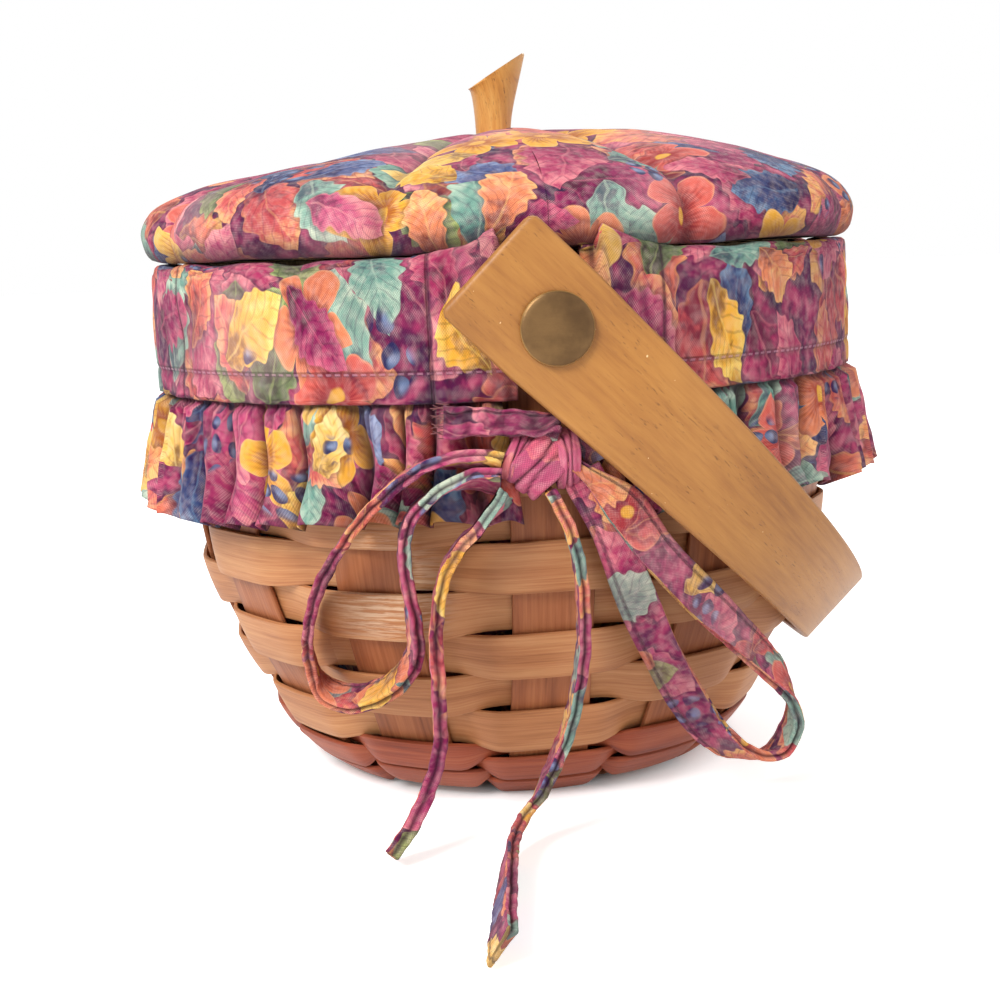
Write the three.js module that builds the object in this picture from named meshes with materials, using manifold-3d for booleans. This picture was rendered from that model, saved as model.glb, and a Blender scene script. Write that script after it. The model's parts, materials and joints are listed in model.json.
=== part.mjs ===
// Lidded basket with a swing handle, a gathered fabric liner tied with bows, and a padded lid.
// Units are millimetres and +Z is up. The origin is the centre of the base, on the table.
// Angles around the basket are in degrees from the front (-Y) towards the right side (+X).

import * as THREE from 'three';
import { mergeVertices } from 'three/addons/utils/BufferGeometryUtils.js';
import Module from 'manifold-3d';

const wasm = await Module();
wasm.setup();

// Gap kept between pieces that touch on the real basket
const clearance = 0.3;

// Basket wall: the middle surface of the uprights, from the base edge to the rim
const baseRadius = 46.5;
const baseEdgeHeight = 1.35;
const rimRadius = 83;
const basketHeight = 128.5;

// Belly curve: share of the radius gained and share of the height climbed, from base edge to rim bands
const bellyCurve = [[0, 0], [0.13, 0.027], [0.29, 0.075], [0.4, 0.135], [0.53, 0.23], [0.66, 0.315],
  [0.79, 0.424], [0.9, 0.557], [0.967, 0.79], [1, 1]];
const bellySamples = 400;

// Splints: each long one runs under the base and up both sides
const splintCount = 6;
const uprightWidth = 18.5;
const splintWaist = 10.6;
const splintThickness = 1.2;
const crossingMargin = 1;
const baseBendLength = 4;
const uprightTopInset = 0.6;

// Weavers: packed rows at the base corner, then the rows of the wall. A row is wide where it passes
// over an upright and is drawn in where it crosses its neighbours, at the middle and behind uprights.
const weaverThickness = 1.1;
const baseRowCount = 4;
const baseRowPitch = 4.6;
const baseRowWidth = 8.6;
const baseCrossingWidth = 3.4;
const wallRowPitch = 11.05;
const wallRowWidth = 12;
const wallRowGap = 0.45;
const firstRowMiddle = 4.7;
const weaverOverhang = 1.0;

// Rim bands that sandwich the tops of the uprights
const rimBandWidth = 22;
const rimBandThickness = 1.7;
const rimSegments = 60;
const tackAngles = [30, 150, 210, 330];
const tackDrop = 5;
const tackShankRadius = 0.6;
const tackHeadRadius = 2;
const tackHeadThickness = 0.6;
const tackHeadTaper = 0.8;
const boreOvershoot = 5;

// Fabric liner: pouch, folded-over cuff and gathered ruffle
const fabricThickness = 1.1;
const linerSlack = 0.1;
const bagEase = 0.8;
const bagToWallGap = 3.3;
const bagFloorRadius = 46;
const bagRises = [0.05, 0.13, 0.25, 0.42, 0.65];
const bagSlope = 0.2;
const bagShoulderDrop = 4;
const bagMouthFlare = 2;
const bagCornerEase = 0.4;
const cuffHeight = 29.6;
const cuffThickness = 1.2;
const cuffOverTacks = 0.3;
const cuffSteps = 24;
const cuffRows = 3;
const slitHalfAngle = 4.7;
const ruffleDrop = 25.2;
const ruffleThickness = 1.0;
const ruffleInset = 0.2;
const ruffleEndAngle = 8;
const ruffleLevels = [0, 0.34, 0.68, 1];
const foldsPerRuffle = 20;
const stepsPerFold = 4;
const foldWander = 0.18;
const foldWanderCount = 5;
const frontFoldDepth = 0.6;
const sideFoldDepth = 3.2;
const frontTuck = 1.6;
const sideFlare = 4.6;

// How fast the folds deepen towards the sides and towards the hem
const sideFoldCurve = 0.9;
const hemFoldCurve = 0.7;

// Swing handle and its rivets
const pivotDrop = 14;
const handleRestAngle = 45.2;
const handleThickness = 3.5;
const handleShortEnd = 19.8;
const handleEndWidth = 28;
const handleEndCorner = 2.2;
const handleEndStations = [0, 0.3, 1];
const handleEdgeEase = 0.5;
const handleLegWidth = 26;
const handleCrownWidth = 20;
const handleRestGap = 0.6;
const legRoom = 6.1;
const legBow = 1.5;
const legBowStart = 8;
const legBowEnd = 25;
const legBowSteps = 4;
const crownRoundness = 2.2;
const crownSteps = 12;
const rivetShankRadius = 2.1;
const rivetHeadRadius = 7.8;
const rivetHeadThickness = 1.5;
const rivetHeadCurve = [[1, 0.4], [0.9, 0.8], [0.6, 1]];
const peenRadius = 3.2;
const peenThickness = 0.8;
const peenTaper = 0.7;
const burrRadius = 6;
const burrThickness = 1;
const spacerRadius = 6.2;
const shankClearance = 0.2;

// Lid: board, locating ring, padded cover and stem
const padOverhang = 7.4;
const padRadius = rimRadius + padOverhang;
const padHeight = 30;
const padTuck = 5.5;
const padLobes = 8;
const stepsPerLobe = 8;
const firstCreaseAngle = 21.5;
const creaseDepth = 3.6;
const creaseHalfWidth = 4.2;
const creaseSharpness = 1.2;
const creaseOnset = 2.2;
const creaseEdgeRelief = 0.6;
const boardInset = 1.5;
const boardRadius = rimRadius - boardInset;
const boardThickness = 4.6;
const ringDepth = 5;
const ringWidth = 4.5;
const ringEase = 1.2;
const stemBaseRadius = 4.5;
const stemTopRadius = 7;
const stemHeight = 16.2;
const stemSlant = 0.6;
const stemLean = 1.6;
const stemRings = 5;
const stemFlareCurve = 2;
const stemLeanCurve = 2;
const stemSlantCurve = 3;
const screwRadius = 2;
const screwHeadRadius = 4;
const screwHeadThickness = 2.4;
const screwHeadTaper = 0.7;
const screwInStem = 10;
const screwTip = 2;
const boreBeyondScrew = 1;
const washerRadius = 7;
const washerThickness = 1;
const padDimple = 1.2;
const dimpleSeat = 0.4;

// Ties: flat straps of folded fabric
const strapWidth = 9;
const strapThickness = 1.8;
const strapFlatShare = 0.9;
const strapEdgeShare = 0.5;
const strapStep = 13.5;
const knotSize = [7.3, 3.9, 5.6];
const knotRings = 6;

// The rear bow's long tail is cut shorter, so it ends where it meets the table
const rearTailPoints = 10;

const linerSegments = 36;
const smallSegments = 20;
const leastSegments = 12;
const rad = THREE.MathUtils.degToRad;

// Materials
function finish(color, roughness, metalness = 0) {
  return new THREE.MeshStandardMaterial({ color, roughness, metalness });
}

const weaverWood = finish(0xc99a66, 0.62);
const uprightWood = finish(0xbf8658, 0.64);
const redWeaverWood = finish(0xa9654a, 0.62);
const rimWood = finish(0xc4925c, 0.6);
const handleWood = finish(0xbd8c52, 0.5);
const stemWood = finish(0xd0a066, 0.5);
const boardWood = finish(0xcfae7c, 0.7);
const agedBrass = finish(0x77603a, 0.4, 0.9);
const steel = finish(0x8a8d90, 0.4, 0.9);
const printFabric = finish(0xa3485a, 0.9);
const tieFabric = finish(0x96405c, 0.9);
const spacerWood = finish(0x9b6f42, 0.6);

const basket = new THREE.Group();
basket.name = 'lidded_basket';

function add(name, geometry, material, parent = basket) {
  const mesh = new THREE.Mesh(geometry, material);
  mesh.name = name;
  parent.add(mesh);
  return mesh;
}

// Closed solids from rings of points

function signedVolume(points, faces) {
  let sum = 0;
  for (const [a, b, c] of faces) {
    sum += points[a].dot(points[b].clone().cross(points[c]));
  }
  return sum / 6;
}

function solidFrom(points, faces) {
  const outward = signedVolume(points, faces) > 0;
  const order = outward ? faces : faces.map(([a, b, c]) => [a, c, b]);
  const geometry = new THREE.BufferGeometry();
  geometry.setFromPoints(points);
  geometry.setIndex(order.flat());
  geometry.computeVertexNormals();
  return geometry;
}

// Each ring lists one outline of the section in order; the first half runs opposite the second,
// so a strip of quads between the halves closes an open end.
function sweptSolid(rings, closed) {
  const size = rings[0].length;
  const points = rings.flat();
  const faces = [];
  const steps = closed ? rings.length : rings.length - 1;
  for (let i = 0; i < steps; i += 1) {
    const here = i * size;
    const next = ((i + 1) % rings.length) * size;
    for (let j = 0; j < size; j += 1) {
      const k = (j + 1) % size;
      faces.push([here + j, here + k, next + k], [here + j, next + k, next + j]);
    }
  }
  if (!closed) {
    const last = (rings.length - 1) * size;
    for (let j = 0; j < size / 2 - 1; j += 1) {
      const far = size - 1 - j;
      faces.push([j, far, j + 1], [j + 1, far, far - 1]);
      faces.push([last + j, last + j + 1, last + far], [last + j + 1, last + far - 1, last + far]);
    }
  }
  return solidFrom(points, faces);
}

function latheSolid(profile, segments) {
  const outline = profile.map(([r, z]) => new THREE.Vector2(r, z));
  const geometry = new THREE.LatheGeometry(outline, segments);
  geometry.rotateX(Math.PI / 2);
  const merged = mergeVertices(bare(geometry));
  const position = merged.getAttribute('position');
  const index = merged.getIndex();
  const points = [];
  for (let i = 0; i < position.count; i += 1) {
    points.push(new THREE.Vector3().fromBufferAttribute(position, i));
  }
  const faces = [];
  for (let i = 0; i < index.count; i += 3) {
    const face = [index.getX(i), index.getX(i + 1), index.getX(i + 2)];
    if (new Set(face).size === 3) faces.push(face);
  }
  return solidFrom(points, faces);
}

// Outline of a plain ring, from its lower inner corner round and back to it
function boxProfile(inner, outer, bottom, top) {
  return [[inner, bottom], [outer, bottom], [outer, top], [inner, top], [inner, bottom]];
}

function bare(geometry) {
  const copy = geometry.clone();
  copy.deleteAttribute('normal');
  copy.deleteAttribute('uv');
  return copy;
}

// Boolean cuts

function toManifold(geometry) {
  const merged = mergeVertices(bare(geometry), 1e-4);
  const vertProperties = Float32Array.from(merged.getAttribute('position').array);
  const triVerts = Uint32Array.from(merged.getIndex().array);
  return new wasm.Manifold(new wasm.Mesh({ numProp: 3, vertProperties, triVerts }));
}

function fromManifold(solid) {
  const mesh = solid.getMesh();
  const geometry = new THREE.BufferGeometry();
  geometry.setAttribute('position', new THREE.BufferAttribute(Float32Array.from(mesh.vertProperties), 3));
  geometry.setIndex([...mesh.triVerts]);
  geometry.computeVertexNormals();
  return geometry;
}

function cut(geometry, tools) {
  let solid = toManifold(geometry);
  for (const tool of tools) solid = solid.subtract(toManifold(tool));
  return fromManifold(solid);
}

// A plain rod along Y at a height, from one depth to another
function rodAlongY(radius, fromY, toY, height, segments = smallSegments) {
  const rod = new THREE.CylinderGeometry(radius, radius, Math.abs(toY - fromY), segments);
  rod.translate(0, (fromY + toY) / 2, height);
  return rod;
}

// Directions around the basket

function outwardAt(angle) {
  return new THREE.Vector3(Math.sin(rad(angle)), -Math.cos(rad(angle)), 0);
}

function sidewaysAt(angle) {
  return new THREE.Vector3(Math.cos(rad(angle)), Math.sin(rad(angle)), 0);
}

function polarPoint(angle, radius, height) {
  return outwardAt(angle).multiplyScalar(radius).setZ(height);
}

// Wall shape: radius at a height, and points by length along the wall from the base edge

const rimBottom = basketHeight - rimBandWidth;
const bellySpline = new THREE.SplineCurve(bellyCurve.map(([gain, climb]) => new THREE.Vector2(
  THREE.MathUtils.lerp(baseRadius, rimRadius, gain),
  THREE.MathUtils.lerp(baseEdgeHeight, rimBottom, climb),
)));
const bellyPoints = [...bellySpline.getPoints(bellySamples), new THREE.Vector2(rimRadius, basketHeight)];

const wallSamples = [];
let wallLength = 0;
for (const point of bellyPoints) {
  const before = wallSamples.at(-1);
  if (before) wallLength += Math.hypot(point.x - before.r, point.y - before.z);
  wallSamples.push({ r: point.x, z: point.y, s: wallLength });
}

function wallRadiusAt(height) {
  const i = wallSamples.findIndex((sample) => sample.z >= height);
  if (i <= 0) return i === 0 ? baseRadius : rimRadius;
  const [a, b] = [wallSamples[i - 1], wallSamples[i]];
  return THREE.MathUtils.mapLinear(height, a.z, b.z, a.r, b.r);
}

function wallPoint(s) {
  const i = Math.max(1, wallSamples.findIndex((sample) => sample.s >= s));
  const [a, b] = [wallSamples[i - 1], wallSamples[i]];
  const t = (s - a.s) / (b.s - a.s);
  return new THREE.Vector2(a.r + (b.r - a.r) * t, a.z + (b.z - a.z) * t);
}

// Rows of weavers: where each starts and how wide it is

const rows = [];
let rowMiddle = firstRowMiddle;
while (wallPoint(rowMiddle + wallRowWidth / 2).y < rimBottom - clearance) {
  const inBase = rows.length < baseRowCount;
  const crossing = inBase ? baseCrossingWidth : wallRowPitch - wallRowGap;
  const wide = inBase ? baseRowWidth : wallRowWidth;
  const narrow = inBase ? crossing : 2 * crossing - wide;
  rows.push({ inBase, middle: rowMiddle, wide, crossing, narrow });
  const atCorner = rows.length === baseRowCount;
  const step = inBase ? baseRowPitch : wallRowPitch;
  rowMiddle += atCorner ? (baseRowPitch + wallRowPitch) / 2 : step;
}

const weaveOffset = (splintThickness + weaverThickness) / 2 + clearance;

function rowBand(row) {
  const low = wallPoint(row.middle - row.wide / 2);
  const high = wallPoint(row.middle + row.wide / 2);
  const along = high.clone().sub(low).normalize();
  const out = new THREE.Vector2(along.y, -along.x);
  return { middle: low.clone().add(high).multiplyScalar(0.5), along, out };
}

function bandSection(band, offset, width) {
  const corners = [[-1, -1], [1, -1], [1, 1], [-1, 1]];
  return corners.map(([a, b]) => band.middle.clone()
    .addScaledVector(band.along, (a * width) / 2)
    .addScaledVector(band.out, offset + (b * weaverThickness) / 2));
}

function weaverRing(row, index) {
  const band = rowBand(row);
  const reach = uprightWidth / 2 + weaverOverhang;
  const pitchAngle = 180 / splintCount;
  const rings = [];
  for (let k = 0; k < splintCount * 2; k += 1) {
    const over = (k + index) % 2 === 0;
    const section = bandSection(band, over ? weaveOffset : -weaveOffset, over ? row.wide : row.narrow);
    for (const side of [-1, 1]) {
      rings.push(section.map((p) => polarPoint(k * pitchAngle, p.x, p.y)
        .addScaledVector(sidewaysAt(k * pitchAngle), side * reach)));
    }
    if (row.inBase) {
      const shrink = Math.cos(rad(pitchAngle / 2));
      const turned = reach * Math.sin(rad(pitchAngle / 2));
      rings.push(bandSection(band, 0, row.crossing).map((p) => polarPoint(
        (k + 0.5) * pitchAngle, p.x * shrink + turned, p.y)));
    }
  }
  return sweptSolid(rings, true);
}

let baseRowNumber = 0;
let wallRowNumber = 0;
rows.forEach((row, index) => {
  const name = row.inBase ? `base_weaver_${(baseRowNumber += 1)}` : `wall_weaver_${(wallRowNumber += 1)}`;
  add(name, weaverRing(row, index), row.inBase ? redWeaverWood : weaverWood);
});

// Splints: flat under the base, narrowed where they cross, then up both sides

const splintPitch = splintThickness + clearance;
const crossingRadius = splintWaist / 2 / Math.tan(Math.PI / splintCount / 2);
const narrowEnd = crossingRadius + crossingMargin;
const fullWidthRadius = uprightWidth / 2 / Math.tan(Math.PI / splintCount / 2) + crossingMargin;
const splintStackTop = splintThickness + splintPitch * (splintCount - 1);

function splintPath(level) {
  const centreHeight = splintThickness / 2 + level * splintPitch;
  const edgeHeight = splintThickness / 2 + (level > 0 ? clearance : 0);
  const half = [
    new THREE.Vector2(narrowEnd, centreHeight),
    new THREE.Vector2(baseRadius - baseBendLength, edgeHeight),
    new THREE.Vector2(baseRadius, baseEdgeHeight),
  ];
  for (const row of rows) {
    half.push(wallPoint(row.middle + (row.inBase ? baseRowPitch : wallRowPitch) / 2));
  }
  half.push(new THREE.Vector2(rimRadius, rimBottom));
  half.push(new THREE.Vector2(rimRadius, basketHeight - uprightTopInset));
  const mirrored = half.map((p) => new THREE.Vector2(-p.x, p.y)).reverse();
  return [...mirrored, ...half];
}

function splintWidthAt(reach) {
  const t = (Math.abs(reach) - narrowEnd) / (fullWidthRadius - narrowEnd);
  return THREE.MathUtils.lerp(splintWaist, uprightWidth, THREE.MathUtils.clamp(t, 0, 1));
}

function withWidthSteps(path) {
  const dense = [];
  path.forEach((p, i) => {
    const before = path[i - 1];
    if (before && before.x * p.x > 0) {
      const low = Math.min(Math.abs(before.x), Math.abs(p.x));
      const high = Math.max(Math.abs(before.x), Math.abs(p.x));
      if (fullWidthRadius > low && fullWidthRadius < high) {
        const t = (Math.sign(p.x) * fullWidthRadius - before.x) / (p.x - before.x);
        dense.push(before.clone().lerp(p, t));
      }
    }
    dense.push(p);
  });
  return dense;
}

function splintSolid(level) {
  const angle = (level * 180) / splintCount;
  const path = withWidthSteps(splintPath(level));
  const rings = path.map((p, i) => {
    const before = path[Math.max(i - 1, 0)];
    const after = path[Math.min(i + 1, path.length - 1)];
    const into = p.clone().sub(before).normalize();
    const onward = after.clone().sub(p).normalize();
    if (i === 0) into.copy(onward);
    if (i === path.length - 1) onward.copy(into);
    const tangent = into.clone().add(onward).normalize();
    const normal = new THREE.Vector2(-tangent.y, tangent.x);
    const mitre = splintThickness / 2 / Math.max(tangent.dot(into), 0.5);
    const width = splintWidthAt(p.x) / 2;
    const corners = [[-1, -1], [1, -1], [1, 1], [-1, 1]];
    return corners.map(([a, b]) => {
      const q = p.clone().addScaledVector(normal, b * mitre);
      return polarPoint(angle, q.x, q.y).addScaledVector(sidewaysAt(angle), a * width);
    });
  });
  return sweptSolid(rings, false);
}

// Rim bands, with the uprights held between them

const uprightFace = rimRadius + splintThickness / 2;
const uprightCorner = Math.hypot(uprightFace, uprightWidth / 2);
const facetSag = 1 / Math.cos(Math.PI / rimSegments);
const outerBandInner = (uprightCorner + clearance) * facetSag;
const outerBandOuter = outerBandInner + rimBandThickness;
const innerBandOuter = rimRadius - splintThickness / 2 - clearance;
const innerBandInner = innerBandOuter - rimBandThickness;
const pivotHeight = basketHeight - pivotDrop;

const cuffInner = outerBandOuter + clearance + tackHeadThickness + cuffOverTacks;
const cuffOuter = cuffInner + cuffThickness;
const legInner = cuffOuter + legRoom;
const legOuter = legInner + handleThickness;
const rivetReach = legOuter + rivetHeadThickness + boreOvershoot;
const rivetHole = rodAlongY(rivetShankRadius + shankClearance, -rivetReach, rivetReach, pivotHeight);

function tackTool(angle, radius, from, to) {
  const tool = new THREE.CylinderGeometry(radius, radius, to - from, leastSegments);
  tool.translate(0, -(from + to) / 2, basketHeight - tackDrop);
  tool.rotateZ(rad(angle));
  return tool;
}

const tackEnd = innerBandInner + rimBandThickness / 2;
const tackHoles = tackAngles.map((angle) => tackTool(angle, tackShankRadius + shankClearance,
  tackEnd - clearance, outerBandOuter + boreOvershoot));
const rimHoles = [rivetHole, ...tackHoles];

function rimBand(inner, outer) {
  return cut(latheSolid(boxProfile(inner, outer, rimBottom, basketHeight), rimSegments), rimHoles);
}

add('outer_rim_band', rimBand(outerBandInner, outerBandOuter), rimWood);
add('inner_rim_band', rimBand(innerBandInner, innerBandOuter), rimWood);

for (let level = 0; level < splintCount; level += 1) {
  const holes = rimHoles.filter((hole, i) => {
    const angle = i === 0 ? 0 : tackAngles[i - 1] % 180;
    return angle === (level * 180) / splintCount;
  });
  const solid = splintSolid(level);
  add(`splint_${level + 1}`, holes.length > 0 ? cut(solid, holes) : solid, uprightWood);
}

function tackSolid(angle) {
  const headStart = outerBandOuter + clearance / 2;
  const headEnd = headStart + tackHeadThickness;
  const profile = [[0, tackEnd], [tackShankRadius, tackEnd], [tackShankRadius, headStart],
    [tackHeadRadius, headStart], [tackHeadRadius * tackHeadTaper, headEnd], [0, headEnd]];
  const solid = latheSolid(profile, leastSegments);
  solid.rotateX(Math.PI / 2);
  solid.translate(0, 0, basketHeight - tackDrop);
  solid.rotateZ(rad(angle));
  return solid;
}

tackAngles.forEach((angle, i) => add(`rim_tack_${i + 1}`, tackSolid(angle), steel));

// Swing handle: a bentwood bail built flat, then turned down to its rest angle

const handleAngle = rad(handleRestAngle);
const wallOutside = weaveOffset + weaverThickness / 2;

// How far down the leg the wall reaches where the crown's inner face lies against it
function reachToClearWall() {
  let reach = 0;
  wallSamples.slice(1).forEach(({ r, z }, i) => {
    const before = wallSamples[i];
    const out = new THREE.Vector2(z - before.z, before.r - r).setLength(wallOutside);
    const outside = r + out.x;
    const drop = pivotHeight - (z + out.y);
    const across = outside * Math.sin(handleAngle) - drop * Math.cos(handleAngle);
    const along = outside * Math.cos(handleAngle) + drop * Math.sin(handleAngle);
    if (Math.abs(across) < handleCrownWidth / 2 + handleRestGap) reach = Math.max(reach, along);
  });
  return reach + handleRestGap;
}

const crownInner = reachToClearWall();
const crownMiddle = crownInner + handleThickness / 2;
const legMiddle = legInner + handleThickness / 2;

// Middle line of one half of the bail: along the leg from the short end, then round to the crown
function handleHalf() {
  const points = [];
  for (const share of handleEndStations) {
    points.push(new THREE.Vector2(handleEndCorner * share - handleShortEnd, legMiddle));
  }
  points.push(new THREE.Vector2(0, legMiddle), new THREE.Vector2(legBowStart, legMiddle));
  for (let i = 1; i <= legBowSteps; i += 1) {
    const t = i / legBowSteps;
    const along = THREE.MathUtils.lerp(legBowStart, legBowEnd, t);
    points.push(new THREE.Vector2(along, legMiddle + legBow * THREE.MathUtils.smoothstep(t, 0, 1)));
  }
  for (let i = 1; i <= crownSteps; i += 1) {
    const turn = (i / crownSteps) * (Math.PI / 2);
    const along = legBowEnd + (crownMiddle - legBowEnd) * Math.sin(turn) ** (2 / crownRoundness);
    const side = (legMiddle + legBow) * Math.cos(turn) ** (2 / crownRoundness);
    points.push(new THREE.Vector2(along, i === crownSteps ? 0 : side));
  }
  return points;
}

function handleWidthAt(along) {
  const intoCorner = Math.max(handleEndCorner - (along + handleShortEnd), 0);
  const cornerTrim = handleEndCorner - Math.sqrt(Math.max(handleEndCorner ** 2 - intoCorner ** 2, 0));
  if (along < 0) return handleEndWidth - 2 * cornerTrim;
  if (along < legBowEnd) return THREE.MathUtils.lerp(handleEndWidth, handleLegWidth, along / legBowEnd);
  const t = (along - legBowEnd) / (crownMiddle - legBowEnd);
  return THREE.MathUtils.lerp(handleLegWidth, handleCrownWidth, t);
}

function handleSolid() {
  const half = handleHalf();
  const rear = half.slice(0, -1).reverse();
  const path = [...half.map((p) => [p.x, -p.y]), ...rear.map((p) => [p.x, p.y])];
  const rings = path.map(([x, y], i) => {
    const before = path[Math.max(i - 1, 0)];
    const after = path[Math.min(i + 1, path.length - 1)];
    const tangent = new THREE.Vector2(after[0] - before[0], after[1] - before[1]).normalize();
    const normal = new THREE.Vector2(tangent.y, -tangent.x);
    const w = handleWidthAt(x) / 2;
    const t = handleThickness / 2;
    const flatW = w - handleEdgeEase;
    const flatT = t - handleEdgeEase;
    const section = [[-flatW, -t], [flatW, -t], [w, -flatT], [w, flatT],
      [flatW, t], [-flatW, t], [-w, flatT], [-w, -flatT]];
    return section.map(([across, deep]) => new THREE.Vector3(
      x + normal.x * deep, y + normal.y * deep, across));
  });
  return sweptSolid(rings, false);
}

const handleHole = rodAlongY(rivetShankRadius + shankClearance, -rivetReach, rivetReach, 0);
const handle = add('handle', cut(handleSolid(), [handleHole]), handleWood);
handle.rotation.y = handleAngle;
handle.position.z = pivotHeight;

// Rivets through the handle, spacer and rim, each closed over a burr inside

function alongFront(profile) {
  const solid = latheSolid(profile, smallSegments);
  solid.rotateX(Math.PI / 2);
  solid.translate(0, 0, pivotHeight);
  return solid;
}

const burrOuter = Math.sqrt(innerBandInner ** 2 - burrRadius ** 2) / facetSag - clearance;
const burrInner = burrOuter - burrThickness;
const peenOuter = burrInner - clearance;
const peenInner = peenOuter - peenThickness;
const headStart = legOuter + clearance;
const headEnd = headStart + rivetHeadThickness;
const rivetCrown = rivetHeadCurve.map(([share, rise]) => [
  rivetHeadRadius * share, headStart + rivetHeadThickness * rise]);
const spacerInner = outerBandOuter + clearance;
const spacerOuter = legInner - clearance;
const boredRadius = rivetShankRadius + shankClearance;

const rivetProfile = [[0, peenInner], [peenRadius * peenTaper, peenInner], [peenRadius, peenOuter],
  [rivetShankRadius, peenOuter], [rivetShankRadius, headStart], [rivetHeadRadius, headStart],
  ...rivetCrown, [0, headEnd]];
const burrProfile = boxProfile(boredRadius, burrRadius, burrInner, burrOuter);
const spacerProfile = boxProfile(boredRadius, spacerRadius, spacerInner, spacerOuter);

for (const side of ['front', 'rear']) {
  const turn = side === 'front' ? 0 : Math.PI;
  add(`${side}_rivet`, alongFront(rivetProfile).rotateZ(turn), agedBrass);
  add(`${side}_burr`, alongFront(burrProfile).rotateZ(turn), agedBrass);
  add(`${side}_spacer`, alongFront(spacerProfile).rotateZ(turn), spacerWood);
}

// Liner pouch: hangs inside the wall and folds out over the rim

const flangeBottom = basketHeight + clearance + linerSlack;
const flangeTop = flangeBottom + fabricThickness;
const bagRadius = innerBandOuter + bagEase - bagToWallGap - rimBandThickness - burrThickness;
const bagFloor = splintStackTop + clearance + linerSlack;

function bagOuterAt(height) {
  return Math.min(bagRadius, wallRadiusAt(height) - wallOutside - bagEase);
}

function bagProfile() {
  const floorTop = bagFloor + fabricThickness;
  const outer = [[0, bagFloor], [bagFloorRadius, bagFloor]];
  const inner = [[0, floorTop], [bagFloorRadius - bagCornerEase, floorTop]];
  for (const rise of bagRises) {
    const height = bagFloor + (basketHeight - bagFloor) * rise;
    outer.push([bagOuterAt(height), height]);
    inner.push([bagOuterAt(height) - fabricThickness, height + bagSlope]);
  }
  const shoulder = basketHeight - bagShoulderDrop;
  const mouth = bagRadius + bagMouthFlare;
  outer.push([bagRadius, shoulder], [mouth, flangeBottom]);
  outer.push([cuffOuter, flangeBottom], [cuffOuter, flangeTop]);
  inner.push([bagRadius - fabricThickness, shoulder + bagCornerEase]);
  inner.push([mouth - fabricThickness / 2, flangeTop]);
  return [...outer, ...inner.reverse()];
}

add('liner_bag', latheSolid(bagProfile(), linerSegments), printFabric);

// Cuffs: the liner folded down over the rim, open at the handle on both sides

const cuffTop = flangeBottom - clearance;
const cuffBottom = cuffTop - cuffHeight;

function shellSolid(angles, outerRow, innerRow) {
  const rings = angles.map((angle) => {
    const outer = outerRow(angle);
    const inner = innerRow(angle).reverse();
    return [...outer, ...inner].map(([r, z]) => polarPoint(angle, r, z));
  });
  return sweptSolid(rings, false);
}

function spread(from, to, steps) {
  return Array.from({ length: steps + 1 }, (_, i) => from + ((to - from) * i) / steps);
}

const cuffLevels = spread(cuffTop, cuffBottom, cuffRows);
for (const [name, sign] of [['right_cuff', 1], ['left_cuff', -1]]) {
  const angles = spread(slitHalfAngle, 180 - slitHalfAngle, cuffSteps).map((angle) => angle * sign);
  const outerRow = () => cuffLevels.map((z) => [cuffOuter, z]);
  const innerRow = () => cuffLevels.map((z) => [cuffInner, z]);
  add(name, shellSolid(angles, outerRow, innerRow), printFabric);
}

// Ruffles: gathered cloth sewn along the lower edge of each cuff

const ruffleTop = cuffBottom - clearance;

function ruffleRadius(angle, drop) {
  const side = Math.sin(rad(angle)) ** 2;
  const depth = THREE.MathUtils.lerp(frontFoldDepth, sideFoldDepth, side ** sideFoldCurve);
  const wander = foldWander * Math.sin(rad(angle * foldWanderCount));
  const span = 180 - 2 * ruffleEndAngle;
  const turns = ((Math.abs(angle) - ruffleEndAngle) / span) * foldsPerRuffle + wander;
  const fold = Math.cos(turns * Math.PI * 2) * depth * drop ** hemFoldCurve;
  return cuffOuter - ruffleInset + (sideFlare * side - frontTuck * (1 - side)) * drop + fold;
}

for (const [name, sign] of [['right_ruffle', 1], ['left_ruffle', -1]]) {
  const steps = foldsPerRuffle * stepsPerFold;
  const angles = spread(ruffleEndAngle, 180 - ruffleEndAngle, steps).map((angle) => angle * sign);
  const row = (angle, inset) => ruffleLevels.map((drop) => [
    ruffleRadius(angle, drop) - inset, ruffleTop - drop * ruffleDrop]);
  const outerRow = (angle) => row(angle, 0);
  const innerRow = (angle) => row(angle, ruffleThickness);
  add(name, shellSolid(angles, outerRow, innerRow), printFabric);
}

// Ties: one bow at the front and its mirror at the rear. Each route is the middle of a strap;
// its faces list says which way the strap's width points, by share of the length.

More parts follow.
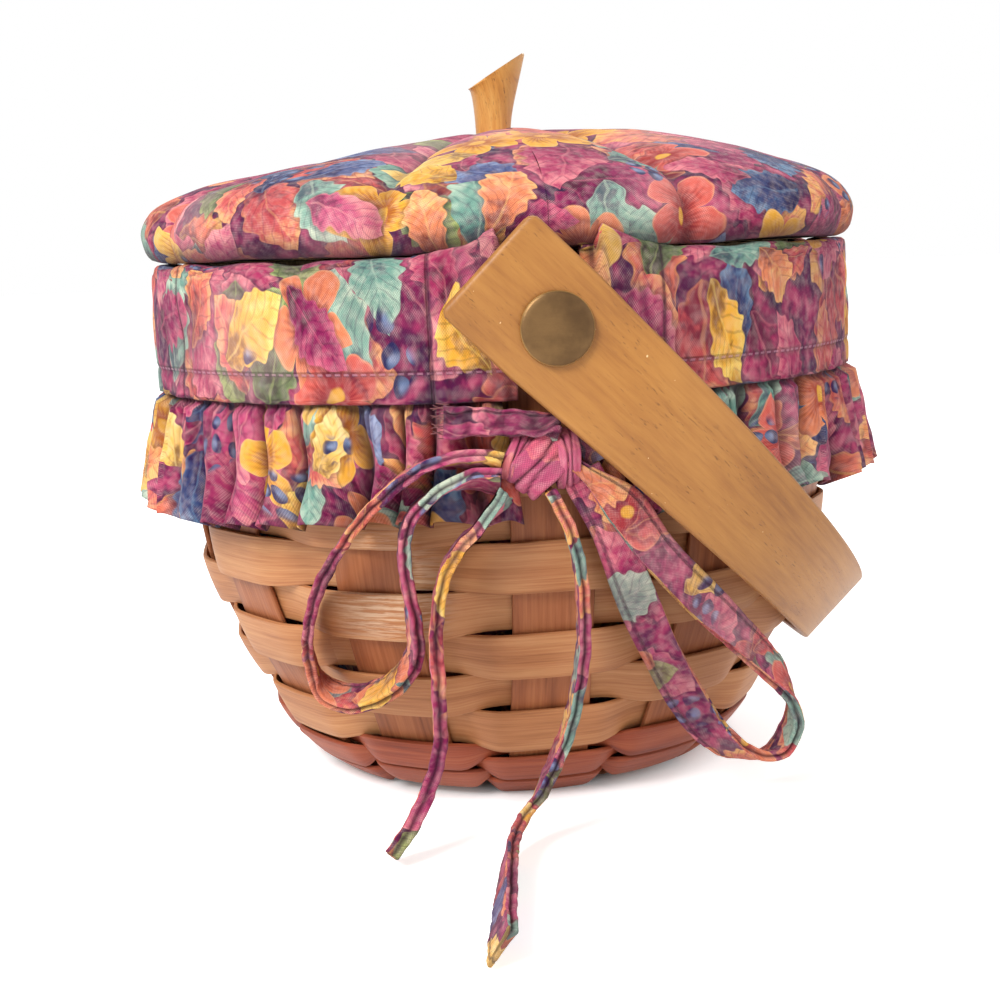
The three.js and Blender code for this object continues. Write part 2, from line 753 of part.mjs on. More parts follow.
const knotCentre = [-3.4, -89.6, 86];
const tieRoutes = {
  left_lead: {
    points: [[-23.4, -90.4, 95.8], [-17.5, -91.6, 95.6], [-11.5, -92.6, 95.2], [-5.5, -93, 94.7],
      [0.4, -92.3, 93.7]],
    faces: [[0, [0.05, 0, 1]], [1, [0.15, 0.3, 0.95]]],
  },
  right_lead: {
    points: [[21.6, -88.4, 96.6], [15.5, -89.1, 93.6], [9.5, -89.0, 90.6], [4.9, -88.8, 88.4]],
    faces: [[0, [-0.5, 0, 0.85]], [1, [-0.4, 0, 0.9]]],
  },
  left_loop: {
    points: [[-12.2, -91.5, 85.4], [-18.3, -90.8, 87.2], [-28.9, -89.8, 86.2], [-39.9, -85.4, 77.3],
      [-48.9, -76.7, 63.4], [-53.4, -66, 50.6], [-54.6, -58.4, 40.4], [-52.2, -58.2, 32.9],
      [-46.3, -62.6, 30.4], [-37.1, -69.6, 34.2], [-31.8, -76.5, 42.8], [-31.8, -81.4, 52.2],
      [-33, -84.6, 61.4], [-33.2, -86.2, 70], [-31, -88.1, 76.2], [-24.8, -89.8, 81.1],
      [-17.8, -90.5, 82.8], [-12.2, -91.5, 82.0]],
    faces: [[0, [0, 0.75, -0.65]], [0.1, [0, 1, 0]], [0.3, [0.25, 1, 0]], [0.5, [0, 0.9, 0.4]],
      [0.7, [-0.2, 1, 0]], [0.9, [0, 1, 0]], [1, [0, 0.75, -0.65]]],
  },
  right_loop: {
    points: [[4.9, -90.9, 83.6], [10.6, -90.8, 72], [15.5, -88.4, 58], [21.5, -82.6, 44], [29, -76.2, 29.5],
      [36.5, -70.8, 18], [44.5, -67.8, 11.2], [53, -65.8, 10.6], [57.6, -65.8, 17.5], [56, -67.2, 27],
      [48.6, -71.8, 36.2], [41, -77.4, 44.2], [33.6, -82.6, 51.8], [27, -87.4, 58.8], [20.6, -90.6, 66.4],
      [13.6, -93.0, 76.4], [6.6, -93.2, 86.8]],
    faces: [[0, [-0.8, 0, -0.6]], [0.2, [-0.85, 0.1, -0.5]], [0.38, [-0.8, 0.5, -0.5]],
      [0.5, [-0.3, 1, -0.1]], [0.6, [0.4, 0.8, 0.5]], [0.75, [0.7, 0.3, 0.6]], [1, [0.7, 0, 0.6]]],
  },
  left_tail: {
    points: [[-10.7, -91.6, 79.2], [-15.4, -92.2, 74.8], [-21.4, -91.4, 69.4], [-25.6, -90.0, 62],
      [-27.4, -88.4, 50], [-27.4, -87.6, 38], [-27.6, -87.4, 26], [-30, -88, 17], [-34, -89.6, 9.4],
      [-38, -91.2, 3.8], [-39.4, -91.8, 2.2]],
    faces: [[0, [0.35, 0.87, -0.35]], [0.12, [0, 1, 0]], [1, [0, 1, 0]]],
  },
  right_tail: {
    points: [[-2.0, -90.4, 80.1], [2.2, -90.6, 70.8], [4.2, -89.4, 60], [4.6, -88, 48], [3.2, -87, 36],
      [0.2, -86.2, 25], [-4.2, -86.2, 15.4], [-8.6, -88, 8.4], [-11.8, -93.2, 5.6], [-14.4, -101, 4.9],
      [-16.8, -112, 4.8], [-19, -126, 4.7], [-21, -139, 4.6], [-22.2, -148.6, 4.5]],
    faces: [[0, [0, 1, 0]], [0.45, [0, 1, 0]], [0.62, [-0.3, 0, -0.95]], [1, [-0.55, 0, -0.83]]],
  },
};

function widthDirection(faces, t) {
  const after = Math.max(1, faces.findIndex(([share]) => share >= t));
  const [from, to] = [faces[after - 1], faces[after]];
  const mix = (t - from[0]) / (to[0] - from[0]);
  return new THREE.Vector3(...from[1]).lerp(new THREE.Vector3(...to[1]), mix);
}

function strapSolid(route) {
  const curve = new THREE.CatmullRomCurve3(route.points.map((p) => new THREE.Vector3(...p)));
  const steps = Math.max(2, Math.round(curve.getLength() / strapStep));
  const w = strapWidth / 2;
  const t = strapThickness / 2;
  const flatW = w * strapFlatShare;
  const edgeT = t * strapEdgeShare;
  const section = [[-w, -edgeT], [-flatW, -t], [flatW, -t], [w, -edgeT],
    [w, edgeT], [flatW, t], [-flatW, t], [-w, edgeT]];
  const rings = spread(0, 1, steps).map((u) => {
    const centre = curve.getPointAt(u);
    const tangent = curve.getTangentAt(u);
    const across = widthDirection(route.faces, u);
    across.addScaledVector(tangent, -across.dot(tangent)).normalize();
    const up = tangent.clone().cross(across);
    return section.map(([a, b]) => centre.clone().addScaledVector(across, a).addScaledVector(up, b));
  });
  return sweptSolid(rings, false);
}

function mirrored(geometry) {
  const copy = bare(geometry);
  const position = copy.getAttribute('position');
  const points = [];
  for (let i = 0; i < position.count; i += 1) {
    points.push(new THREE.Vector3(position.getX(i), -position.getY(i), position.getZ(i)));
  }
  const index = copy.getIndex();
  const faces = [];
  for (let i = 0; i < index.count; i += 3) {
    faces.push([index.getX(i), index.getX(i + 1), index.getX(i + 2)]);
  }
  return solidFrom(points, faces);
}

function knotSolid() {
  const outline = [];
  for (let i = 0; i <= knotRings; i += 1) {
    const turn = -Math.PI / 2 + (Math.PI * i) / knotRings;
    const atPole = i === 0 || i === knotRings;
    outline.push([atPole ? 0 : Math.cos(turn), Math.sin(turn)]);
  }
  const solid = latheSolid(outline, leastSegments);
  solid.scale(...knotSize);
  solid.translate(...knotCentre);
  return solid;
}

for (const side of ['front', 'rear']) {
  const place = (geometry) => (side === 'front' ? geometry : mirrored(geometry));
  for (const [part, route] of Object.entries(tieRoutes)) {
    const shortened = side === 'rear' && part === 'right_tail';
    const points = shortened ? route.points.slice(0, rearTailPoints) : route.points;
    add(`${side}_${part}`, place(strapSolid({ points, faces: route.faces })), tieFabric);
  }
  add(`${side}_knot`, place(knotSolid()), tieFabric);
}

// Lid: a board with a ring under it that fits the mouth, a padded cover over it and a stem on top

const lid = new THREE.Group();
lid.name = 'lid';
basket.add(lid);

const lidBottom = flangeTop + clearance;
const boardTop = lidBottom + boardThickness;
const ringOuter = bagRadius - fabricThickness - ringEase;
const ringInner = ringOuter - ringWidth;
const underBoard = lidBottom - clearance;
const screwBore = screwRadius + shankClearance;
const washerBottom = underBoard - washerThickness;
const screwHeadTop = washerBottom - clearance;
const padTop = lidBottom + padHeight;

const boardProfile = boxProfile(screwBore, boardRadius, lidBottom, boardTop);
const ringProfile = boxProfile(ringInner, ringOuter, underBoard - ringDepth, underBoard);
const washerProfile = boxProfile(screwBore, washerRadius, washerBottom, underBoard);
add('lid_board', latheSolid(boardProfile, linerSegments), boardWood, lid);
add('locating_ring', latheSolid(ringProfile, linerSegments), boardWood, lid);
add('stem_washer', latheSolid(washerProfile, smallSegments), steel, lid);

// Padded cover: share of the radius and of the height, from the screw hole over the crown to the edge
const padOutline = [[0.13, 0.985], [0.33, 0.955], [0.55, 0.875], [0.72, 0.75], [0.865, 0.605],
  [0.963, 0.44], [1, 0.255], [0.985, 0.1]];

function creaseAt(angle) {
  const lobe = 360 / padLobes;
  const off = Math.abs((((angle - firstCreaseAngle) % lobe) + lobe * 1.5) % lobe - lobe / 2);
  return Math.exp(-((off / creaseHalfWidth) ** creaseSharpness));
}

function padSolid() {
  const turns = spread(0, 360, padLobes * stepsPerLobe).slice(0, -1);
  const angles = turns.map((angle) => angle + firstCreaseAngle);
  const rings = angles.map((angle) => {
    const crease = creaseAt(angle);
    const crown = padOutline.map(([share, rise]) => {
      const pull = creaseDepth * crease * Math.min(1, share * creaseOnset);
      const edge = share ** 2;
      const sink = pull * (1 - edge * creaseEdgeRelief);
      return [padRadius * share - pull * edge, lidBottom + padHeight * rise - sink];
    });
    const section = [[screwBore, padTop - padDimple - dimpleSeat], ...crown, [padRadius - padTuck, lidBottom],
      [boardRadius + clearance, lidBottom], [boardRadius + clearance, boardTop + clearance],
      [screwBore, boardTop + clearance]];
    return section.map(([r, z]) => polarPoint(angle, r, z));
  });
  return sweptSolid(rings, true);
}

add('lid_pad', padSolid(), printFabric, lid);

// Stem: a turned peg that flares upwards, cut on a slant, with a blind hole for its screw
const stemBottom = padTop - padDimple + clearance;

function stemSolid() {
  const rings = spread(0, 1, stemRings).map((t) => {
    const radius = THREE.MathUtils.lerp(stemBaseRadius, stemTopRadius, t ** stemFlareCurve);
    return spread(0, 360, smallSegments).slice(0, -1).map((angle) => {
      const x = radius * Math.sin(rad(angle)) + stemLean * t ** stemLeanCurve;
      const height = stemHeight * t + stemSlant * radius * Math.sin(rad(angle)) * t ** stemSlantCurve;
      return new THREE.Vector3(x, -radius * Math.cos(rad(angle)), stemBottom + height);
    });
  });
  return sweptSolid(rings, false);
}

const screwTop = stemBottom + screwInStem;
const boreTop = screwTop + boreBeyondScrew;
const boreLength = boreTop - stemBottom + boreOvershoot;
const stemBore = new THREE.CylinderGeometry(screwBore, screwBore, boreLength, smallSegments);
stemBore.rotateX(Math.PI / 2);
stemBore.translate(0, 0, boreTop - boreLength / 2);
add('stem', cut(stemSolid(), [stemBore]), stemWood, lid);

const screwHeadBottom = screwHeadTop - screwHeadThickness;
const screwProfile = [[0, screwHeadBottom], [screwHeadRadius * screwHeadTaper, screwHeadBottom],
  [screwHeadRadius, screwHeadTop], [screwRadius, screwHeadTop], [screwRadius, screwTop - screwTip],
  [0, screwTop]];
add('stem_screw', latheSolid(screwProfile, smallSegments), steel, lid);

export default basket;
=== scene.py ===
# %% [markdown]
# # A small splint basket with a padded lid
#
# The basket is woven from flat wood splints. A printed liner folds down over its rim as a cuff with
# a gathered ruffle, bows tie the cuff together at front and rear, and a padded lid with a wooden
# stem sits on top. This lesson builds each piece round the fixed frame, which already holds every
# piece's place and size.

# %% The fixed frame
import json
import math

import bmesh
import bpy
from mathutils import Matrix, Vector, noise as perlin

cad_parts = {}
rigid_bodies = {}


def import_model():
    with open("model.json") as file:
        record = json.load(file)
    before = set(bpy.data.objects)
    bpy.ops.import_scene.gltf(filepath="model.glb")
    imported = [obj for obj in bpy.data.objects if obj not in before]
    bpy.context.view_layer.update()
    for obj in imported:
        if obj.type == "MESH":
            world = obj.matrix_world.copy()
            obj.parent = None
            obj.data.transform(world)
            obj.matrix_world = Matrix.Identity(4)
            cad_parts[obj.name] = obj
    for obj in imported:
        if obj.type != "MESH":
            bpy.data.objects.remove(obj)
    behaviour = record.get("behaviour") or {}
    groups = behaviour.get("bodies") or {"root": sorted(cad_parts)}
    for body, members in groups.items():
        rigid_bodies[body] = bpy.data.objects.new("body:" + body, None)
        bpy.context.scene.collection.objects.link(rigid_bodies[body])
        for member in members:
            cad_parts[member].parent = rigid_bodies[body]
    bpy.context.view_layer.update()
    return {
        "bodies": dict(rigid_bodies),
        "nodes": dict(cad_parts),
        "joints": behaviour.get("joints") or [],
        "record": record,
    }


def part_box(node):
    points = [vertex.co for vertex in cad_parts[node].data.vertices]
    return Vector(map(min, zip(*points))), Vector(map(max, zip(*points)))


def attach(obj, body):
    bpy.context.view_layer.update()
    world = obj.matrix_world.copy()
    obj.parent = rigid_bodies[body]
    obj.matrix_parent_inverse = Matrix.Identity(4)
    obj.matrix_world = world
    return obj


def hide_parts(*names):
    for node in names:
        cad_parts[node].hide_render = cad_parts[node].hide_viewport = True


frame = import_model()
MM = 0.001
print("frame nodes:", len(frame["nodes"]))

# %% [markdown]
# ## The camera
#
# The photograph was taken from a little left of the front, just above the rim, with the camera
# tilted slightly. These numbers came from fitting the basket's outlines, so the camera is placed
# from its own three directions instead of being aimed at a point.

# %% Camera
CAMERA_TURN = math.radians(-6.6)
CAMERA_REACH = 440 * MM
CAMERA_HEIGHT = 133 * MM
CAMERA_PITCH = math.radians(8.9)
CAMERA_ROLL = math.radians(2.4)
LENS = 60
FILM_WIDTH = 36
LENS_SHIFT = -0.009


def add_object(name, data):
    thing = bpy.data.objects.new(name, data)
    bpy.context.scene.collection.objects.link(thing)
    return thing


def place_camera():
    level = Vector((-math.sin(CAMERA_TURN), math.cos(CAMERA_TURN), 0))
    side = Vector((math.cos(CAMERA_TURN), math.sin(CAMERA_TURN), 0))
    ahead = level * math.cos(CAMERA_PITCH) - Vector((0, 0, math.sin(CAMERA_PITCH)))
    above = side.cross(ahead)
    right = side * math.cos(CAMERA_ROLL) - above * math.sin(CAMERA_ROLL)
    up = side * math.sin(CAMERA_ROLL) + above * math.cos(CAMERA_ROLL)
    lens = bpy.data.cameras.new("camera")
    lens.lens, lens.sensor_width, lens.shift_x = LENS, FILM_WIDTH, LENS_SHIFT
    lens.clip_start = 10 * MM
    camera = add_object("camera", lens)
    eye = level * -CAMERA_REACH + Vector((0, 0, CAMERA_HEIGHT))
    camera.matrix_world = Matrix.Translation(eye) @ Matrix((right, up, -ahead)).transposed().to_4x4()
    bpy.context.scene.camera = camera
    print("camera at", [round(x, 4) for x in eye])


place_camera()

# %% [markdown]
# ## Node helpers
#
# Every finish below is built from nodes. A Wire is one output of a node, and a sum written with
# wires becomes Math nodes in the same tree, so a finish reads like plain arithmetic. A few more
# helpers mix two colours, stretch a map, make a noise and turn a value into colours. A colour of
# three numbers from 0 to 255 is as a screen shows it; nodes work in amounts of light.

# %% Node helpers


class Wire:
    """One output of a node. Sums written with wires become Math nodes."""

    def __init__(self, socket):
        self.socket = socket
        self.tree = socket.id_data

    def __add__(self, other):
        return calc("ADD", self, other)

    def __sub__(self, other):
        return calc("SUBTRACT", self, other)

    def __rsub__(self, other):
        return calc("SUBTRACT", other, self)

    def __mul__(self, other):
        return calc("MULTIPLY", self, other)

    def __truediv__(self, other):
        return calc("DIVIDE", self, other)

    def __lt__(self, other):
        return calc("LESS_THAN", self, other)

    def __abs__(self):
        return calc("ABSOLUTE", self)


def tree_of(*values):
    return next(value.tree for value in values if isinstance(value, Wire))


def feed(socket, value):
    """Links a wire to an input, or writes a plain value into it."""
    if isinstance(value, Wire):
        value.tree.links.new(value.socket, socket)
    elif value is not None:
        socket.default_value = value


def make_node(tree, kind, inputs=(), **settings):
    node = tree.nodes.new(kind)
    for key, value in settings.items():
        setattr(node, key, value)
    for key, value in inputs.items() if isinstance(inputs, dict) else enumerate(inputs):
        feed(node.inputs[key], value)
    return node


def make(tree, kind, inputs=(), out=0, **settings):
    """A new node's output as a wire."""
    return Wire(make_node(tree, kind, inputs, **settings).outputs[out])


def split(vector, kind="ShaderNodeSeparateXYZ"):
    """A vector's or a colour's three parts."""
    return [Wire(part) for part in make_node(vector.tree, kind, (vector,)).outputs[:3]]


def calc(operation, a, b=None, clamp=False):
    return make(tree_of(a, b), "ShaderNodeMath", (a, b), operation=operation, use_clamp=clamp)


def vector_calc(operation, a, b=None, out=0):
    return make(a.tree, "ShaderNodeVectorMath", (a, b), out, operation=operation)


def wave(value):
    return calc("SINE", value)


def shade(red, green, blue):
    """A colour as a screen shows it, as the light values that nodes work in."""
    parts = [x / 255 for x in (red, green, blue)]
    return tuple(x / 12.92 if x <= 0.04045 else ((x + 0.055) / 1.055) ** 2.4 for x in parts) + (1,)


def tint(colour):
    return shade(*colour) if isinstance(colour, tuple) and len(colour) == 3 else colour


def mix(share, a, b, blend="MIX"):
    inputs = {"Factor": share, 6: tint(a), 7: tint(b)}
    return make(tree_of(share, a, b), "ShaderNodeMix", inputs, 2, data_type="RGBA", blend_type=blend)


def step_up(value, low, high):
    inputs = {"Value": value, "From Min": low, "From Max": high}
    return make(value.tree, "ShaderNodeMapRange", inputs, "Result", interpolation_type="SMOOTHSTEP")


def ramp(value, stops, smooth=True):
    """Colours along a value. Each stop is its place and the colour's three numbers."""
    node = make_node(value.tree, "ShaderNodeValToRGB", (value,))
    band = node.color_ramp
    band.interpolation = "LINEAR" if smooth else "CONSTANT"
    while len(band.elements) < len(stops):
        band.elements.new(1)
    for element, (place, *colour) in zip(band.elements, stops):
        element.position = place
        element.color = shade(*colour)
    return Wire(node.outputs["Color"])


def noise(vector, scale=1.0, detail=3.0, roughness=0.5, out="Fac"):
    inputs = {"Vector": vector, "Scale": scale, "Detail": detail, "Roughness": roughness}
    return make(vector.tree, "ShaderNodeTexNoise", inputs, out)


def mapped(vector, scale=(1, 1, 1), shift=(0, 0, 0)):
    return make(vector.tree, "ShaderNodeMapping", (vector, shift, None, scale))


def own_place(tree):
    """The place on the piece, in its own coordinates."""
    return make(tree, "ShaderNodeTexCoord", out="Object")


def new_finish(name, **plain):
    """A material with a plain surface, and its node tree."""
    finish = bpy.data.materials.new(name)
    finish.use_nodes = True
    surface = finish.node_tree.nodes["Principled BSDF"]
    for key, value in plain.items():
        surface.inputs[key.replace("_", " ")].default_value = value
    return finish, finish.node_tree


def painted(finish, colour, height, depth, strength=1.0, rough=None):
    """The same finish with wires for its colour, its bump and its roughness."""
    tree = finish.node_tree
    bump = make(tree, "ShaderNodeBump", {"Height": height, "Distance": depth, "Strength": strength})
    for name, wire in (("Base Color", colour), ("Normal", bump), ("Roughness", rough)):
        feed(tree.nodes["Principled BSDF"].inputs[name], wire)
    return finish


# %% [markdown]
# ## The printed cotton
#
# The liner, the ties and the lid are one plain-weave cotton with a dense print in autumn colours.
# The print here is a generic one: layers of plain pointed leaves, five-petalled blossoms and small
# round dots. A Voronoi texture scatters one motif in each of its cells. Its Position output is the
# middle of the cell, so the map less that position gives each motif its own little drawing space,
# and the cell's random colour turns it and picks its dye.

# %% The print, in layers
LEAF_LENGTH = 0.56
LEAF_TEETH = 34.0
BRUSH = 300.0
DARK_LINE = (44, 26, 52)


def cell_space(vector, size, shift, loose=0.8):
    """One motif's own space: along, across and two random numbers. Size is in millimetres."""
    spread = mapped(vector, (1 / (size * MM),) * 3, shift)
    cells = make_node(vector.tree, "ShaderNodeTexVoronoi",
                      {"Vector": spread, "Scale": 1.0, "Randomness": loose}, voronoi_dimensions="2D")
    local = vector_calc("SUBTRACT", spread, Wire(cells.outputs["Position"]))
    angle, pick, chance = split(Wire(cells.outputs["Color"]), "ShaderNodeSeparateColor")
    turned = make(vector.tree, "ShaderNodeVectorRotate", {"Vector": local, "Angle": angle * math.tau},
                  rotation_type="Z_AXIS")
    x, y, _ = split(turned)
    return x, y, pick, chance


def length_of(x, y):
    return calc("SQRT", x * x + y * y)


def leaf_layer(ground, vector, size, shift, dyes, keep, width):
    """Toothed pointed leaves, painted from a deep base to a light tip, with soft veins."""
    x, y, pick, chance = cell_space(vector, size, shift)
    side = abs(y)
    share = x / LEAF_LENGTH
    taper = calc("SUBTRACT", 1.0, share * share, clamp=True)
    inside = taper * (wave(x * LEAF_TEETH) * 0.1 + 1.0) * width - side
    dye, tip = (ramp(pick, row, smooth=False) for row in dyes)
    deep = mix(1.0, dye, (0.34, 0.3, 0.42, 1), "MULTIPLY")
    flow = side / width * 0.18 + (share * 0.3 + noise(vector, BRUSH, 3.0, 0.6))
    body = mix(step_up(flow, 0.28, 0.55), deep, dye)
    body = mix(step_up(flow, 0.55, 0.9), body, tip)
    body = mix(step_up(wave(x * 44.0 - side * 52.0), 0.7, 1.0) * 0.4, body, deep)
    body = mix(step_up(side, 0.02, 0.006) * 0.35, body, tip)
    body = mix(step_up(inside, 0.05, 0.01) * 0.3, body, tip)
    kept = chance < keep
    ground = mix(step_up(inside, -0.09, 0.0) * 0.45 * kept, ground, DARK_LINE)
    return mix(step_up(inside, -0.004, 0.02) * kept, ground, body)


def blossom_layer(ground, vector, size, shift, dyes, keep):
    """Five round petals, streaked from a dark throat to a pale edge."""
    x, y, pick, chance = cell_space(vector, size, shift)
    reach = length_of(x, y)
    angle = calc("ARCTAN2", y, x)
    outline = calc("POWER", abs(calc("COSINE", angle * 2.5)), 0.55) * 0.24 + 0.19
    inside = outline - reach
    dye = ramp(pick, dyes, smooth=False)
    deep = mix(1.0, dye, (0.5, 0.3, 0.36, 1), "MULTIPLY")
    tone = wave(angle * 35.0) * 0.1 + reach / outline + noise(vector, BRUSH, 2.0) * 0.3
    body = mix(step_up(tone, 0.35, 1.0), deep, dye)
    body = mix(step_up(inside, 0.04, 0.01) * 0.3, body, (245, 206, 150))
    body = mix(step_up(reach, 0.075, 0.05), body, (226, 168, 60))
    return mix(step_up(inside, 0.0, 0.018) * (chance < keep), ground, body)


def dot_layer(ground, vector, size, shift, patches):
    """Small round dots with a pale glint, only where a broad noise lets them grow."""
    x, y, *_ = cell_space(vector, size, shift, loose=0.35)
    reach = length_of(x, y)
    body = mix(step_up(reach + x * 0.7, 0.34, -0.1), (38, 48, 84), (128, 150, 186))
    return mix(step_up(reach, 0.42, 0.36) * patches, ground, body)


# %% [markdown]
# Each dye list holds stops for one family of motifs, first for the body and then for the tips. The
# last steps wash the finished print with darker and paler areas.

# %% The whole print as one node group
GROUND = ((0.3, 36, 44, 74), (0.45, 92, 36, 70), (0.56, 164, 62, 98), (0.7, 206, 110, 132))
REDS = (((0, 172, 58, 96), (0.26, 206, 92, 88), (0.5, 136, 42, 84), (0.7, 192, 78, 116),
         (0.86, 218, 116, 92)),
        ((0, 226, 132, 140), (0.26, 240, 172, 120), (0.5, 204, 92, 120), (0.7, 232, 150, 150),
         (0.86, 244, 188, 104)))
WARMS = (((0, 228, 134, 92), (0.3, 236, 172, 62), (0.55, 216, 104, 90), (0.8, 240, 190, 96)),
         ((0, 246, 190, 120), (0.3, 250, 214, 110), (0.55, 244, 170, 110), (0.8, 250, 222, 150)))
COOLS = (((0, 112, 158, 142), (0.3, 98, 116, 76), (0.52, 54, 68, 108), (0.72, 134, 172, 154),
          (0.88, 74, 88, 132)),
         ((0, 176, 204, 180), (0.3, 164, 178, 108), (0.52, 104, 138, 168), (0.72, 196, 214, 188),
          (0.88, 142, 162, 196)))


def print_group():
    group = bpy.data.node_groups.new("autumn_print", "ShaderNodeTree")
    group.interface.new_socket("Lay", in_out="INPUT", socket_type="NodeSocketVector")
    group.interface.new_socket("Colour", in_out="OUTPUT", socket_type="NodeSocketColor")
    lay = make(group, "NodeGroupInput")
    wobble = vector_calc("SUBTRACT", noise(lay, 90.0, 2.0, out="Color"), (0.5, 0.5, 0.5))
    drift = make(group, "ShaderNodeVectorMath", {0: wobble, "Scale": 7 * MM}, operation="SCALE")
    flat = vector_calc("MULTIPLY", vector_calc("ADD", lay, drift), (1, 1, 0))
    colour = ramp(noise(flat, 130.0, 3.0, 0.6), GROUND)
    colour = leaf_layer(colour, flat, 21.0, (0.4, 5.1, 0), REDS, 1.0, 0.36)
    colour = leaf_layer(colour, flat, 24.0, (3.1, 1.7, 0), REDS, 0.9, 0.36)
    colour = leaf_layer(colour, flat, 20.0, (8.4, 2.9, 0), COOLS, 0.62, 0.32)
    colour = blossom_layer(colour, flat, 26.0, (5.7, 6.3, 0), WARMS[0], 0.5)
    colour = leaf_layer(colour, flat, 17.0, (1.3, 9.2, 0), REDS, 0.4, 0.28)
    colour = leaf_layer(colour, flat, 18.0, (6.6, 4.8, 0), WARMS, 0.3, 0.28)
    patches = step_up(noise(flat, 42.0, 1.0), 0.62, 0.66)
    colour = dot_layer(colour, flat, 4.6, (2.2, 3.4, 0), patches)
    wash = noise(flat, 26.0, 1.0)
    colour = mix(step_up(wash, 0.47, 0.3) * 0.4, colour, (86, 30, 64))
    colour = mix(step_up(wash, 0.52, 0.74) * 0.16, colour, (250, 206, 204))
    colour = make(group, "ShaderNodeBrightContrast", (colour, 0.01, 0.06))
    make_node(group, "NodeGroupOutput", (colour,))
    return group


PRINT = print_group()
print("print nodes:", len(PRINT.nodes))

# %% [markdown]
# ## Cotton in the light
#
# Close up, the cotton shows its plain weave as a fine grid of raised threads, with painted highlights
# on the threads and painted shade between them. The weave is drawn on the same map as the print, so it
# follows the folds. Lines of topstitching are dents with short thread marks in them, laid along fixed
# lines of the map, with painted shade in each dent. Deep in a fold, along seams and under edges the
# cloth gets painted shade, and each mesh writes how much goes where into a vertex attribute.

# %% Cotton finishes
THREAD = 0.52 * MM
STITCH_PITCH = 2.1 * MM
PLUM_THREAD = (70, 28, 52)
PINK_THREAD = (212, 160, 180)


def stitches(across, along, line):
    """(dent, thread) of a row of stitches at one value of across."""
    away = abs(across - line)
    on = calc("FRACT", along / STITCH_PITCH) < 0.6
    return step_up(away, 0.6 * MM, 0.12 * MM), step_up(away, 0.25 * MM, 0.13 * MM) * on


def cotton(name, shift, rows=(), columns=(), row_thread=None, column_thread=None, dye=None):
    """Printed cotton. Rows and columns are the map lines, in metres, that carry topstitching."""
    finish, tree = new_finish(name, Roughness=0.9, Sheen_Weight=0.06, Sheen_Roughness=0.5,
                              Specular_IOR_Level=0.25)
    lay = make(tree, "ShaderNodeUVMap", uv_map="lay")
    colour = make(tree, "ShaderNodeGroup", node_tree=PRINT)
    feed(colour.socket.node.inputs[0], mapped(lay, shift=shift))
    if dye:
        colour = mix(dye[0], colour, dye[1])
    u, v, _ = split(lay)
    threads = wave(u * (math.tau / THREAD)) * wave(v * (math.tau / THREAD)) * 0.5 + 0.5
    # Painted shade in the gaps between the threads, then painted highlights on their raised tops.
    colour = mix((1.0 - threads) * 0.34, colour, (60, 30, 56))
    uneven = noise(mapped(lay, (500, 500, 1)), detail=2.0)
    colour = mix(threads * (step_up(uneven, 0.35, 0.75) * 0.24), colour, (252, 226, 214))
    height = threads * 0.3
    lines = [(v, u, row, row_thread) for row in rows]
    lines += [(u, v, column, column_thread) for column in columns]
    for across, along, line, thread in lines:
        dent, mark = stitches(across, along, line)
        height = height - dent + mark * 0.9
        # Painted shade in the stitch's dent; the marks take the thread's own colour.
        colour = mix(dent * 0.35, colour, (66, 26, 54))
        colour = mix(mark * 0.32, colour, thread)
    # Painted shade: the cloth is darker where the mesh's attribute marks folds, seams, edges and undersides.
    deep = make(tree, "ShaderNodeAttribute", out="Fac", attribute_name="painted_shade")
    return painted(finish, mix(deep * 0.82, colour, (42, 14, 32)), height, 0.35 * MM)


# %% [markdown]
# ## Wood and metal
#
# The weavers are thin shaved wood with straight grain along their length. The handle and stem are
# solid wood under a satin coat, with short dark pores and a few pale specks. Grain is noise
# stretched along the piece's own map: long in one direction and fine in the other.

# %% Wood and metal finishes
PORE_BROWN = (96, 58, 30)
DUST = (236, 206, 156)
PIVOT_HEIGHT = 114.5


def wood(name, pale, tan, dark, fine=1.5, pores=0.0, gloss=0.55, worn=None, long=0.018):
    """Straight-grained wood. The map runs along the grain in its first direction."""
    finish, tree = new_finish(name, Roughness=gloss, Coat_Weight=0.05, Coat_Roughness=0.35,
                              Specular_IOR_Level=0.35)
    lay = mapped(make(tree, "ShaderNodeUVMap", uv_map="lay"), (1 / MM,) * 3)

    def grain(along, across, detail, roughness=0.5, shift=(0, 0, 0)):
        return noise(mapped(lay, (along, across, 1), shift), 1.0, detail, roughness)

    broad = grain(long, 0.16, 3.0, 0.6)
    lines = grain(long * 1.8, fine, 4.0, 0.65)
    hair = grain(long * 4, fine * 3.2, 2.0, 0.7)
    tone = broad * 0.55 + lines * 0.45
    colour = ramp(tone, ((0.3, *dark), (0.48, *tan), (0.66, *pale)))
    colour = mix(step_up(hair, 0.56, 0.74) * 0.35, colour, dark)
    height = lines + hair * 0.6
    if pores:
        marks = step_up(grain(0.42, 3.4, 2.0, 0.6), 0.62, 0.69) * step_up(grain(0.05, 0.2, 1.0), 0.42, 0.64)
        colour = mix(marks * pores, colour, PORE_BROWN)
        specks = step_up(grain(1.1, 1.1, 1.0, shift=(9, 4, 0)), 0.79, 0.82)
        colour = mix(specks * 0.7, colour, DUST)
        height = height - marks
    if worn:
        spot, reach, pale_patch = worn
        away = vector_calc("DISTANCE", own_place(tree), spot, "Value")
        streaks = step_up(grain(0.09, 1.1, 4.0, 0.7, (3, 7, 0)), 0.42, 0.6)
        colour = mix(step_up(away, reach, reach * 0.3) * streaks * 0.6, colour, pale_patch)
    return painted(finish, colour, height, 0.12 * MM, 0.8)


